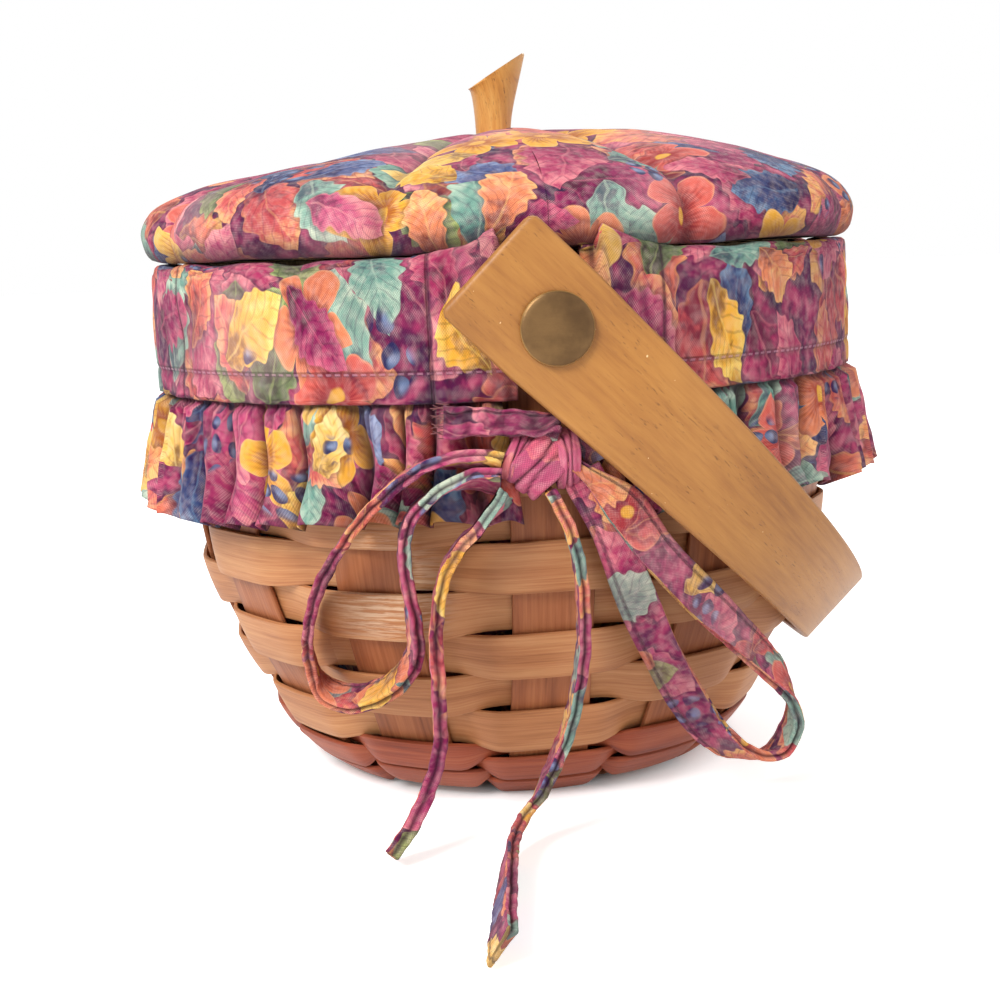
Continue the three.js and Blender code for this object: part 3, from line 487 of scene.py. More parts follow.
def metal(name, bright, dull, rough, rim_wear_and_highlight_from=None):
    """Aged metal. A rivet's head gets a brighter edge from a radius round the pivot outwards, partly wear
    and partly a painted highlight.
    """
    finish, tree = new_finish(name, Metallic=0.9)
    place = own_place(tree)
    stain = noise(place, 110.0, 4.0, 0.55)
    scratch = noise(mapped(place, (500, 500, 2600)))
    colour = mix(step_up(stain, 0.3, 0.72), bright, dull)
    rough_map = stain * 0.2 + rough
    if rim_wear_and_highlight_from:
        centred = mapped(place, (1, 0, 1), (0, 0, -PIVOT_HEIGHT * MM))
        away = vector_calc("LENGTH", centred, out="Value")
        edge = step_up(away, rim_wear_and_highlight_from, rim_wear_and_highlight_from + 0.35 * MM)
        # The brighter rim is partly wear and partly a painted highlight.
        colour = mix(edge, colour, (186, 152, 96))
        rough_map = rough_map - edge * 0.12
    return painted(finish, colour, scratch + stain, 0.05 * MM, 0.6, rough_map)


WEAVER_WOOD = wood("weaver_wood", (200, 146, 98), (178, 118, 74), (136, 80, 46),
                   worn=((-38 * MM, -73 * MM, 55 * MM), 20 * MM, (232, 204, 172)))
BASE_WOOD = wood("base_weaver_wood", (172, 92, 58), (148, 68, 40), (104, 42, 26))
SPLINT_WOOD = wood("splint_wood", (178, 112, 70), (154, 90, 54), (112, 60, 34), fine=1.1)
RIM_WOOD = wood("rim_wood", (200, 156, 110), (180, 134, 90), (146, 98, 62))
HANDLE_WOOD = wood("handle_wood", (170, 117, 56), (157, 104, 48), (130, 80, 36), fine=0.9,
                   pores=0.55, gloss=0.42, long=0.03)
STEM_WOOD = wood("stem_wood", (214, 162, 88), (198, 138, 66), (146, 88, 40), fine=0.9,
                 pores=0.7, gloss=0.4, long=0.05)
BRASS = metal("aged_brass", (116, 88, 56), (84, 62, 40), 0.36, rim_wear_and_highlight_from=7.45 * MM)
STEEL = metal("plain_steel", (170, 172, 176), (120, 120, 122), 0.25)

# %% [markdown]
# ## Two ways to start a mesh
#
# Thin pieces here are either sheets or rolls. A sheet is a grid whose points are laid in place one
# by one; a roll is a grid whose rows follow a small closed outline, so that it becomes a strap, a
# splint or a hoop. Both get a map in metres, so that cloth and grain keep their true scale. Turned
# pieces, such as a rivet, are a profile spun round its axis.

# %% Small sums


def limited(value, low=0.0, high=1.0):
    return max(low, min(high, value))


def blend_step(value, low, high):
    t = limited((value - low) / (high - low))
    return t * t * (3 - 2 * t)


def near(value, middle, width):
    """1 at the middle, falling away to 0 on both sides."""
    return math.exp(-((value - middle) / width) ** 2)


def sine(degrees):
    return math.sin(math.radians(degrees))


def lerp(a, b, t):
    return a + (b - a) * t


def noise_at(place):
    """Smooth random waves from about -1 to 1, the same at each run."""
    return perlin.noise(Vector(place)) * 1.6


def around(angle, radius, height):
    """A point by its angle in degrees from the front towards the right, in millimetres."""
    turn = math.radians(angle)
    return Vector((math.sin(turn) * radius, -math.cos(turn) * radius, height)) * MM


def both_ways(half):
    """A closed outline from one half of it and the same half turned round."""
    return half + [(-a, -b) for a, b in half]


def running_lengths(points):
    """The distance of each point of a line from its start."""
    marks = [0.0]
    for a, b in zip(points, points[1:]):
        marks.append(marks[-1] + math.dist(a, b))
    return marks


def heading(line, i):
    """The direction of a line at one of its points."""
    return (line[min(i + 1, len(line) - 1)] - line[max(i - 1, 0)]).normalized()


# %% Mesh helpers
SAME_SPOT = 0.002 * MM


def fresh_grid(columns, rows, lay):
    """A unit grid with its map written from lay(column, row), and each vertex's column and row."""
    mesh = bmesh.new()
    bmesh.ops.create_grid(mesh, x_segments=columns, y_segments=rows, size=0.5)
    mesh.verts.layers.float.new("painted_shade")
    steps = {v: (round((v.co.x + 0.5) * columns), round((v.co.y + 0.5) * rows)) for v in mesh.verts}
    mesh.loops.layers.uv.new("lay")
    remap(mesh, lambda vert, old: lay(*steps[vert]))
    return mesh, steps


def remap(mesh, rule):
    """Writes the map anew from rule(vertex, old place on the map)."""
    layer = mesh.loops.layers.uv["lay"]
    for face in mesh.faces:
        for corner in face.loops:
            corner[layer].uv = rule(corner.vert, corner[layer].uv)


def outward(mesh):
    """Closes doubled edges and turns every face outwards."""
    bmesh.ops.remove_doubles(mesh, verts=mesh.verts, dist=SAME_SPOT)
    bmesh.ops.recalc_face_normals(mesh, faces=mesh.faces)


def fill_grid(mesh, steps, place, painted_shade):
    """Lays each vertex, and writes how much painted shade the cotton finish puts there, deepest in folds."""
    layer = mesh.verts.layers.float["painted_shade"]
    for vert, (i, j) in steps.items():
        if painted_shade:
            vert[layer] = limited(painted_shade(i, j))
        vert.co = place(i, j)


def sheet_mesh(columns, rows, place, lay, painted_shade):
    """A sheet: place(u, v), lay(u, v) and hollow(u, v) take shares from 0 to 1."""
    mesh, steps = fresh_grid(columns, rows, lambda i, j: lay(i / columns, j / rows))
    fill_grid(mesh, steps, lambda i, j: place(i / columns, j / rows),
              lambda i, j: painted_shade(i / columns, j / rows))
    outward(mesh)
    return mesh


def roll_mesh(columns, outline, place, length, closed=False, painted_shade=None):
    """A roll: place(u, a, b) lays one point (a, b) of the outline at the share u of the length."""
    rows = len(outline)
    lengths = running_lengths(outline + outline[:1])
    mesh, steps = fresh_grid(columns, rows, lambda i, j: (length * i / columns, lengths[j]))
    fill_grid(mesh, steps, lambda i, j: place(i / columns, *outline[j % rows]),
              painted_shade and (lambda i, j: painted_shade(i / columns, *outline[j % rows])))
    bmesh.ops.remove_doubles(mesh, verts=mesh.verts, dist=SAME_SPOT)
    if not closed:
        bmesh.ops.holes_fill(mesh, edges=[e for e in mesh.edges if e.is_boundary], sides=0)
    bmesh.ops.recalc_face_normals(mesh, faces=mesh.faces)
    return mesh


def scale_map(mesh, across, shift):
    """Stretches the map across a roll to its true width, and moves it to fresh grain or print."""
    remap(mesh, lambda vert, old: (old[0] + shift, old[1] * across))


def join(mesh, parts):
    """Adds other meshes to this one and frees them."""
    data = bpy.data.meshes.new("parts")
    for part in parts:
        part.to_mesh(data)
        part.free()
        mesh.from_mesh(data)
    bpy.data.meshes.remove(data)


def turned_mesh(profile, steps, at, flip):
    """A profile of (radius, reach) in millimetres, spun round an axis that points forwards."""
    mesh = bmesh.new()
    verts = [mesh.verts.new((r * MM, 0, h * MM)) for r, h in profile]
    edges = [mesh.edges.new(pair) for pair in zip(verts, verts[1:])]
    bmesh.ops.spin(mesh, geom=verts + edges, cent=(0, 0, 0), axis=(0, 0, 1), angle=math.tau,
                   steps=steps, use_merge=True)
    outward(mesh)
    turn = Matrix.Rotation(math.radians(-90 if flip else 90), 4, "X")
    bmesh.ops.transform(mesh, matrix=turn, verts=mesh.verts)
    bmesh.ops.translate(mesh, vec=at, verts=mesh.verts)
    return mesh


def finish_piece(name, mesh, finish, slot, body="basket", sharp=None):
    """Turns the mesh into a piece that rides on its body and stands for its frame node."""
    data = bpy.data.meshes.new(name)
    mesh.to_mesh(data)
    mesh.free()
    data.materials.append(finish)
    data.shade_smooth()
    if sharp:
        data.set_sharp_from_angle(angle=math.radians(sharp))
    piece = add_object(name, data)
    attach(piece, body)
    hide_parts(name)
    return piece


def shell(piece, thickness, even=True):
    """Gives a sheet its cloth thickness. Sharp folds need it uneven, or their corners run away."""
    wall = piece.modifiers.new("thickness", "SOLIDIFY")
    wall.thickness = thickness
    wall.offset = -1.0
    wall.use_even_offset = even
    return piece


# %% [markdown]
# ## Smooth routes
#
# Ties, splints and the wall follow a few given points, joined by one smooth curve. The curve
# passes through every point, and its spacing follows the distances between them, so that it
# doesn't overshoot where points crowd together.

# %% Smooth curve through points


def smooth_route(points, steps=24, even=False):
    """Points of a curve through all the given ones. Even ignores how far apart they are."""
    knots = [2 * points[0] - points[1], *points, 2 * points[-1] - points[-2]]
    route = []
    for i in range(1, len(knots) - 2):
        a, b, c, d = knots[i - 1:i + 3]
        before, here, after = [1.0 if even else max((q - p).length, 1e-9) ** 0.5
                               for p, q in ((a, b), (b, c), (c, d))]
        leave = ((b - a) / before - (c - a) / (before + here) + (c - b) / here) * here
        arrive = ((c - b) / here - (d - b) / (here + after) + (d - c) / after) * here
        for k in range(steps):
            t = k / steps
            route.append(b + leave * t + (3 * (c - b) - 2 * leave - arrive) * t * t
                         + (2 * (b - c) + leave + arrive) * t ** 3)
    return route + [points[-1].copy()]


def by_length(route, count):
    """The same route again as count + 1 points at even distances, and its length."""
    marks = running_lengths(route)
    total, found, at = marks[-1], [], 0
    for k in range(count + 1):
        goal = total * k / count
        while at < len(route) - 2 and marks[at + 1] < goal:
            at += 1
        share = (goal - marks[at]) / (marks[at + 1] - marks[at])
        found.append(route[at].lerp(route[at + 1], min(1.0, share)))
    return found, total


# %% [markdown]
# ## The ties
#
# Each bow is one long strap of folded, topstitched cotton, tied so that it shows as two leads, two
# loops, a knot and two tails. Cloth this stiff keeps a flat oval section and turns on its edge in
# tight bends. Each part has its points, and a short list that says which way its flat side points
# along the route. The left lead is crumpled and ends in loose threads.

# %% Routes of the ties
TIE_ROUTES = {
    "left_lead": (
        [(-23.4, -90.4, 95.8), (-17.5, -91.6, 95.6), (-11.5, -92.6, 95.2), (-5.5, -93, 94.7),
         (0.4, -92.3, 93.7)],
        [(0, (0.05, 0, 1)), (1, (0.15, 0.3, 0.95))]),
    "right_lead": (
        [(21.6, -88.4, 96.6), (15.5, -89.1, 93.6), (9.5, -89.0, 90.6), (4.9, -88.8, 88.4)],
        [(0, (-0.5, 0, 0.85)), (1, (-0.4, 0, 0.9))]),
    "left_loop": (
        [(-12.2, -91.5, 85.4), (-18.3, -90.8, 87.2), (-28.9, -89.8, 86.2), (-39.9, -85.4, 77.3),
         (-48.9, -76.7, 63.4), (-53.4, -66, 50.6), (-54.6, -58.4, 40.4), (-52.2, -58.2, 32.9),
         (-46.3, -62.6, 30.4), (-37.1, -69.6, 34.2), (-31.8, -76.5, 42.8), (-31.8, -81.4, 52.2),
         (-33, -84.6, 61.4), (-33.2, -86.2, 70), (-31, -88.1, 76.2), (-24.8, -89.8, 81.1),
         (-17.8, -90.5, 82.8), (-12.2, -91.5, 82.0)],
        [(0, (0, 0.75, -0.65)), (0.1, (0, 1, 0)), (0.3, (0.25, 1, 0)), (0.5, (0, 0.9, 0.4)),
         (0.7, (-0.2, 1, 0)), (0.9, (0, 1, 0)), (1, (0, 0.75, -0.65))]),
    "right_loop": (
        [(4.9, -90.9, 83.6), (10.6, -90.8, 72), (15.5, -88.4, 58), (21.5, -82.6, 44),
         (29, -76.2, 29.5), (36.5, -70.8, 18), (44.5, -67.8, 11.2), (53, -65.8, 10.6),
         (57.6, -65.8, 17.5), (56, -67.2, 27), (48.6, -71.8, 36.2), (41, -77.4, 44.2),
         (33.6, -82.6, 51.8), (27, -87.4, 58.8), (20.6, -90.6, 66.4), (13.6, -93.0, 76.4),
         (3.8, -91.4, 85.4)],
        [(0, (-0.8, 0, -0.6)), (0.2, (-0.85, 0.1, -0.5)), (0.38, (-0.8, 0.5, -0.5)),
         (0.5, (-0.3, 1, -0.1)), (0.6, (0.4, 0.8, 0.5)), (0.75, (0.7, 0.3, 0.6)), (1, (0.7, 0, 0.6))]),
    "left_tail": (
        [(-10.7, -91.6, 79.2), (-15.4, -92.2, 74.8), (-21.4, -91.4, 69.4), (-25.6, -90.0, 62),
         (-27.4, -88.4, 50), (-27.4, -87.6, 38), (-27.6, -87.4, 26), (-30, -88, 17),
         (-34, -89.6, 9.4), (-38, -91.2, 3.8), (-39.4, -91.8, 2.2)],
        [(0, (0.35, 0.87, -0.35)), (0.12, (0, 1, 0)), (0.6, (0, 1, 0)), (1, (0.03, 0.94, -0.34))]),
    "right_tail": (
        [(-2.0, -90.4, 80.1), (2.2, -90.6, 70.8), (4.2, -89.4, 60), (4.6, -88, 48),
         (3.2, -87, 36), (0.2, -86.2, 25), (-4.2, -86.2, 15.4), (-8.6, -88, 8.4),
         (-11.8, -93.2, 5.6), (-14.4, -101, 4.9), (-16.8, -112, 4.8), (-19, -126, 4.7),
         (-21, -139, 4.6), (-22.2, -148.6, 4.5)],
        [(0, (0, 1, 0)), (0.45, (0, 1, 0)), (0.62, (-0.3, 0, -0.95)), (1, (-0.55, 0, -0.83))]),
}
REAR_TAIL_POINTS = 10
REAR_TAIL_FACES = [(0, (0, 1, 0)), (1, (0, 1, 0))]
HANDLE_SWEEP = 94.2 * MM  # the handle passes just outside this, so the leads stay inside it

# %% [markdown]
# How each part differs from a plain strap: its width at both ends as shares of the full width, how
# crumpled it is, how much its far end is drawn in, and whether it may leave the handle's circle.

# %% Straps
PLAIN_STRAP = ((1.0, 1.0), 0.0, 0.0, False)
STRAP_STYLES = {"left_lead": ((0.8, 0.52), 1.0, 0.0, False), "left_tail": ((1.0, 0.78), 0.0, 0.0, False),
                "right_loop": ((1.0, 1.0), 0.0, 0.62, False), "right_tail": ((1.0, 1.0), 0.0, 0.0, True)}
FOLD_EDGE = 3.75
SEAM = 2.95
STRAP_HALF = [(-FOLD_EDGE, 0.1), (-4.62, 0.65), (-4.5, 1.15), (-4.1, 1.3), (-3.4, 1.15), (-1.6, 0.9),
              (0.6, 0.85), (2.0, 0.82), (2.7, 0.74), (SEAM, 0.58), (3.2, 0.7), (4.2, 0.6), (4.5, 0.2)]
STRAP_OUTLINE = ([(a, -b) for a, b in reversed(STRAP_HALF[:3])] + STRAP_HALF
                 + [(a, -b) for a, b in reversed(STRAP_HALF[3:])])
STRAP_SEAMS = [mark * MM for (a, _), mark in zip(STRAP_OUTLINE, running_lengths(STRAP_OUTLINE))
               if a == SEAM]
TIE_COTTON = cotton("tie_cotton", (0.11, 0.04, 0), rows=STRAP_SEAMS, row_thread=PLUM_THREAD,
                    dye=(0.1, (176, 62, 104)))


def flat_side(faces, share, mirror):
    """Which way the strap's width points at a share of its length."""
    last = next(i for i, (at, _) in enumerate(faces) if at >= share and i > 0)
    (start, a), (end, b) = faces[last - 1], faces[last]
    way = Vector(a).lerp(Vector(b), (share - start) / (end - start))
    return Vector((way.x, way.y * mirror, way.z))


def strap_frames(route, faces, mirror, phase, crumple):
    """At each step: the middle, the way across the strap and the way out of its flat side."""
    frames = []
    for i, centre in enumerate(route):
        tangent = heading(route, i)
        across = flat_side(faces, i / (len(route) - 1), mirror)
        across = (across - tangent * across.dot(tangent)).normalized()
        up = tangent.cross(across)
        twist = crumple * 0.5 * noise_at((i * 0.13, phase, 3.0))
        frames.append((centre, across * math.cos(twist) + up * math.sin(twist),
                       up * math.cos(twist) - across * math.sin(twist)))
    return frames


def strap_mesh(points, faces, mirror, phase, slim, crumple, pinch, free):
    """A flat strap along a route: its outline is set square to the route at each step."""
    raw = smooth_route([Vector((x, y * mirror, z)) * MM for x, y, z in points])
    spacing = (0.7 if crumple else 1.4) * MM
    columns = max(12, round(running_lengths(raw)[-1] / spacing))
    route, length = by_length(raw, columns)
    frames = strap_frames(route, faces, mirror, phase, crumple)
    end = length / MM

    def crease(s, a):
        return noise_at((s * 0.3, a * 0.32, phase + 6))

    def place(u, a, b):
        centre, across, up = frames[round(u * columns)]
        s = u * length / MM
        ripple = 0.1 * math.sin(s * 0.9 + phase) + 0.07 * math.sin(s * 0.37 + phase * 2)
        narrow = lerp(*slim, u) * (1 - 0.05 * (0.5 + 0.5 * math.sin(s * 0.21 + phase)))
        narrow *= 1 + 0.16 * crumple * noise_at((s * 0.22, phase, 1.0))
        narrow *= 1 - pinch * blend_step(s, end - 15, end - 1)
        b *= 1 + (1.6 + 2 * crumple) * min(1 - narrow, 0.45)
        pucker = 0.14 * math.sin(s * 1.7 + phase) * (1 if a > 0 else 0.3)
        crush = crumple * 0.85 * crease(s, a) * (1 if b > 0 else 0.5)
        spot = centre + (across * a * narrow + up * (b * (1 + pucker) + ripple + crush)) * MM
        if not free:
            spot.y = mirror * max(mirror * spot.y, -HANDLE_SWEEP)
        return spot

    # Painted shade along the strap's folded edge and in its crumpled creases.
    def painted_shade(u, a, b):
        groove = 0.85 * near(a, -FOLD_EDGE, 0.3) if abs(b) < 0.3 else 0.0
        return groove + crumple * 0.8 * blend_step(-crease(u * length / MM, a), 0.15, 0.6)

    mesh = roll_mesh(columns, STRAP_OUTLINE, place, length, painted_shade=painted_shade)
    scale_map(mesh, MM, phase * 0.17)
    if crumple:
        fray(mesh, frames[0], phase)
    return mesh, route, length


def fray(mesh, frame, phase):
    """Loose threads at a strap's raw first end: thin curved rolls of six sides."""
    centre, across, up = frame
    ahead = up.cross(across)
    ring = [(math.cos(k * math.pi / 3), math.sin(k * math.pi / 3)) for k in range(6)]
    threads = []
    for k in range(16):
        at = lerp(-4.0, 4.2, (k + 0.5 * math.sin(k * 7.0)) / 15) * 0.9
        reach = 1.6 + 1.3 * abs(math.sin(k * 2.3 + phase))
        bend = math.sin(k * 1.7 + phase) * 0.9
        rise = math.cos(k * 2.9 + phase) * 0.5

        def place(u, a, b, at=at, reach=reach, bend=bend, rise=rise):
            spot = ahead * (u * (reach + 1) - 1) + across * (at + bend * u * u + a * 0.11)
            return centre + (spot + up * (rise * u * u + b * 0.11)) * MM

        threads.append(roll_mesh(6, ring, place, reach * MM))
    join(mesh, threads)


straps = {}
for side, mirror in (("front", 1), ("rear", -1)):
    for number, (part, (points, faces)) in enumerate(TIE_ROUTES.items()):
        if side == "rear" and part == "right_tail":
            points, faces = points[:REAR_TAIL_POINTS], REAR_TAIL_FACES
        name = f"{side}_{part}"
        mesh, route, length = strap_mesh(points, faces, mirror, number * 1.3,
                                         *STRAP_STYLES.get(part, PLAIN_STRAP))
        straps[name] = (finish_piece(name, mesh, TIE_COTTON, "tie_fabric"), route)
        print(name, "length", round(length, 4))

# %% [markdown]
# ## The knots
#
# A bow's knot is the strap itself, wrapped round the crossing and pulled tight, so it shows
# diagonal bands with folded edges over a small padded core. The core is a squashed ball, and each
# wrap is a roll that runs round it. A wrap's numbers are its direction, its long and deep radius,
# its shift along the knot, its width and how far its middle puffs up.

# %% Knots
KNOT_CENTRE = (-3.4, -89.6, 86.0)
KNOT_CORE = (6.4, 3.0, 4.4)
KNOT_WRAPS = (((0.66, 0, 0.75), 6.3, 3.3, 0.3, 1.08, 0.7), ((-0.1, 0, 0.99), 5.2, 3.1, -5.6, 0.55, 0.8),
              ((0.3, 0, 0.95), 4.4, 2.8, 5.4, 0.5, 0.6))
WRAP_EDGE = 4.6
WRAP_OUTLINE = both_ways([(a * 0.5 - 4.25, -1.0) for a in range(18)]
                         + [(WRAP_EDGE, -0.4), (WRAP_EDGE, 0.4)])


def wrap_creases(turn, a, width):
    """The two creases that run along a wrap, each 1 in its middle."""
    return (near(a, 1.5 + 0.9 * math.sin(turn + 0.6), width[0]),
            near(a, -1.6 - 0.8 * math.cos(turn * 2), width[1]))


def wrap_mesh(first, long, deep, shift, wide, puff):
    one, two = Vector(first).normalized(), Vector((0, 1, 0))
    side = one.cross(two)

    def place(u, a, b):
        turn = u * math.tau
        swell = puff * (1 - (a / WRAP_EDGE) ** 2) + b * 0.7
        right, left = wrap_creases(turn, a, (0.42, 0.4))
        swell += 0.35 * near(abs(a), 4.0, 0.4) - 0.9 * right - 0.6 * left
        spot = one * math.cos(turn) * (long + swell) + two * math.sin(turn) * (deep + swell)
        lean = 0.5 * math.sin(turn * 2 + shift)
        return (spot + side * (a * wide + shift + lean)) * MM

    # Painted shade in the wrap's two creases and along its edges.
    def painted_shade(u, a, b):
        right, left = wrap_creases(u * math.tau, a, (0.35, 0.35))
        return right + 0.8 * left + 0.7 * (abs(a) > 4.5)

    band = roll_mesh(72, WRAP_OUTLINE, place, math.tau * (long + deep) / 2 * MM, closed=True,
                     painted_shade=painted_shade)
    scale_map(band, MM, shift * 0.03)
    return band


def knot_mesh(mirror):
    mesh = bmesh.new()
    bmesh.ops.create_uvsphere(mesh, u_segments=24, v_segments=14, radius=1.0, calc_uvs=False)
    mesh.loops.layers.uv.new("lay")
    mesh.verts.layers.float.new("painted_shade")
    bmesh.ops.scale(mesh, vec=Vector(KNOT_CORE) * MM, verts=mesh.verts)
    join(mesh, [wrap_mesh(*wrap) for wrap in KNOT_WRAPS])
    remap(mesh, lambda vert, old: old.copy() if old.length else (vert.co.x, vert.co.z))
    bmesh.ops.translate(mesh, vec=Vector(KNOT_CENTRE) * MM, verts=mesh.verts)
    bmesh.ops.scale(mesh, vec=(1, mirror, 1), verts=mesh.verts)
    outward(mesh)
    return mesh


KNOT_COTTON = cotton("knot_cotton", (0.36, 0.21, 0), dye=(0.62, (216, 96, 130)))
knots = {side: finish_piece(f"{side}_knot", knot_mesh(mirror), KNOT_COTTON, "tie_fabric")
         for side, mirror in (("front", 1), ("rear", -1))}

# %% Each tie's route as plain points
for side in ("front", "rear"):
    for part, length, far_end in (("left_loop", 0.179, "knot"), ("right_loop", 0.198, "knot"),
                                  ("left_tail", 0.087, "bare"),
                                  ("right_tail", 0.139 if side == "front" else 0.091, "bare")):
        piece, route = straps[f"{side}_{part}"]
        tuple(route[0])
        [tuple(p) for p in route]

# %% [markdown]
# ## The wall line
#
# The wall is steep near the rim and turns in quickly below, like a flower pot. One curve gives its
# middle surface, and every row of weaving is placed by its distance along that curve.

# %% The wall line
BASE_RADIUS = 46.5
BASE_EDGE = 1.35
RIM_RADIUS = 83.0
RIM_BOTTOM = 106.5
BELLY = [(0, 0), (0.13, 0.027), (0.29, 0.075), (0.4, 0.135), (0.53, 0.23), (0.66, 0.315),
         (0.79, 0.424), (0.9, 0.557), (0.967, 0.79), (1, 1)]


def flat_point(x, y):
    return Vector((x, y, 0))


WALL = smooth_route([flat_point(lerp(BASE_RADIUS, RIM_RADIUS, gain), lerp(BASE_EDGE, RIM_BOTTOM, climb))
                     for gain, climb in BELLY], steps=30, even=True)
WALL_MARKS = running_lengths(WALL)


def wall_at(distance):
    """(radius, height) in millimetres at a distance up the wall from the base edge."""
    i = next((k for k, mark in enumerate(WALL_MARKS) if mark >= distance), len(WALL) - 1)
    i = max(i, 1)
    share = (distance - WALL_MARKS[i - 1]) / (WALL_MARKS[i] - WALL_MARKS[i - 1])
    return WALL[i - 1].lerp(WALL[i], share).to_2d()


print("wall length", round(WALL_MARKS[-1], 1), "mm")

# %% [markdown]
# ## The weavers
#
# Each row is one hoop of shaved wood that goes over one upright and behind the next. Over an
# upright it lies flat against it and bows out a little; behind one it is drawn in and narrower.
# The four rows at the bottom corner are packed tight, so they pinch to a line where they cross and
# open over each upright, which makes the scalloped edge. A hoop is a roll of a slim rounded
# outline, laid round the wall.

# %% Rows of weavers
UPRIGHTS = 12
PITCH_ANGLE = math.tau / UPRIGHTS
UPRIGHT_WIDTH = 18.5
WEAVER_THICKNESS = 1.1
WEAVE_OFFSET = 1.45
FIRST_ROW, BASE_STEP, WALL_STEP = 4.7, 4.6, 11.05
HOOP_COLUMNS = 288
HOOP_OUTLINE = both_ways([(-1, -0.4), (-0.98, -0.85), (-0.9, -1), (-0.45, -1), (0, -1), (0.45, -1),
                          (0.9, -1), (0.98, -0.85), (1, -0.4)])


def weaver_rows():
    """(name, distance up the wall, width over, width at a crossing, width behind)."""
    rows = [(f"base_weaver_{i + 1}", FIRST_ROW + BASE_STEP * i, 8.8, 4.4, 4.3) for i in range(4)]
    first = rows[-1][1] + (BASE_STEP + WALL_STEP) / 2
    return rows + [(f"wall_weaver_{i + 1}", first + WALL_STEP * i, 12.1, 11.0, 10.7) for i in range(8)]


def flat_radius(turn, plane, hold):
    """Radius of a hoop that lies flat on each upright and runs straight to the next."""
    middle = PITCH_ANGLE / 2
    off = abs((turn + middle) % PITCH_ANGLE - middle)
    if off <= hold:
        return plane / math.cos(off)
    return plane / math.cos(hold) * math.cos(middle - hold) / math.cos(middle - off)


def hoop_mesh(index, middle, wide, crossing, narrow):
    low, high = wall_at(middle - wide / 2), wall_at(middle + wide / 2)
    heart = (low + high) / 2
    along = (high - low).normalized()
    out = Vector((along.y, -along.x))
    hold = math.atan((UPRIGHT_WIDTH / 2 + 1) / heart.x)
    limit = math.cos(UPRIGHTS / 2 * hold)
    start = 1 if index % 2 == 0 else -1

    def place(u, a, b):
        turn = u * math.tau + math.pi + index * 0.4
        over = math.cos(UPRIGHTS / 2 * turn) * start
        weave = math.sin(math.pi / 2 * limited(over / limit, -1.0))
        width = crossing + (wide - crossing) * max(0, weave) + (narrow - crossing) * max(0, -weave)
        width *= 1 + 0.012 * math.sin(turn * 5 + index * 2.3) * weave
        bulge = 0.45 * max(0.0, over) ** 2 + 0.3 * (1 - a * a) * (0.5 + 0.5 * weave)
        drift = 0.3 * math.sin(turn * 3 + index * 0.15) + 0.18 * math.sin(turn * 7 + index * 0.2)
        spot = heart + along * (a * width / 2 + drift)
        spot += out * (WEAVE_OFFSET * weave + bulge + b * WEAVER_THICKNESS / 2)
        flat = sum(flat_radius(turn + math.radians(d), heart.x, hold) for d in (-2, -1, 0, 1, 2)) / 5
        return around(math.degrees(turn), spot.x * flat / heart.x, spot.y)

    return roll_mesh(HOOP_COLUMNS, HOOP_OUTLINE, place, math.tau * heart.x * MM, closed=True)


for index, (name, middle, wide, crossing, narrow) in enumerate(weaver_rows()):
    mesh = hoop_mesh(index, middle, wide, crossing, narrow)
    scale_map(mesh, wide / 2 * MM, index * 0.731)
    finish, slot = ((BASE_WOOD, "base_weaver_wood") if name.startswith("base")
                    else (WEAVER_WOOD, "weaver_wood"))
    finish_piece(name, mesh, finish, slot, sharp=50)

# %% [markdown]
# ## The splints
#
# Six flat splints cross under the base and turn up as twelve uprights. They narrow towards the
# middle, where they are stacked on each other. Each is a roll of a slim outline along a line that
# runs under the base and up both sides.

# %% Splints
SPLINT_THICKNESS = 1.2
SPLINT_OUTLINE = both_ways([(-1, -0.5), (-0.97, -1), (-0.5, -1), (0, -1), (0.5, -1), (0.97, -1), (1, -0.5)])
SPLINT_WAIST = 10.6
SPLINT_TOP = 127.9
STACK_STEP = 1.5
HALF_PITCH = math.tan(math.pi / UPRIGHTS)
NARROW_END = SPLINT_WAIST / 2 / HALF_PITCH + 1
FULL_WIDTH_FROM = UPRIGHT_WIDTH / 2 / HALF_PITCH + 1


def splint_line(level):
    half = [flat_point(NARROW_END, 0.6 + level * STACK_STEP),
            flat_point(BASE_RADIUS - 4, 0.9 if level else 0.6), flat_point(BASE_RADIUS, BASE_EDGE)]
    for name, middle, *_ in weaver_rows():
        step = BASE_STEP if name.startswith("base") else WALL_STEP
        half.append(flat_point(*wall_at(middle + step / 2)))
    half += [flat_point(RIM_RADIUS, RIM_BOTTOM), flat_point(RIM_RADIUS, SPLINT_TOP)]
    even, length = by_length([flat_point(-p.x, p.y) for p in reversed(half)] + half, 220)
    soft = list(even)
    for i in range(3, len(even) - 3):
        soft[i] = sum(even[i - 2:i + 3], Vector()) / 5
    return soft, length


def splint_mesh(level):
    line, length = splint_line(level)
    angle = level * 360 / UPRIGHTS
    sideways = Vector((math.cos(math.radians(angle)), sine(angle), 0)) * MM
    columns = len(line) - 1

    def place(u, a, b):
        i = round(u * columns)
        tangent = heading(line, i)
        share = (abs(line[i].x) - NARROW_END) / (FULL_WIDTH_FROM - NARROW_END)
        width = lerp(SPLINT_WAIST, UPRIGHT_WIDTH, limited(share))
        width *= 1 + 0.012 * math.sin(u * 40 + level)
        spot = line[i] + flat_point(-tangent.y, tangent.x) * b * SPLINT_THICKNESS / 2
        return around(angle, spot.x, spot.y) + sideways * a * width / 2

    mesh = roll_mesh(columns, SPLINT_OUTLINE, place, length * MM)
    scale_map(mesh, UPRIGHT_WIDTH / 2 * MM, 5 + level * 0.613)
    return mesh


for level in range(UPRIGHTS // 2):
    finish_piece(f"splint_{level + 1}", splint_mesh(level), SPLINT_WOOD, "splint_wood", sharp=50)

# %% [markdown]
# ## The swing handle
#
# The handle is one strip of wood bent to a bail, widest at its ends. Its edges are sanded round and
# the ends are cut square with small round corners. It is a roll of a rounded outline along the bail,
# built flat and then turned down to where it rests.

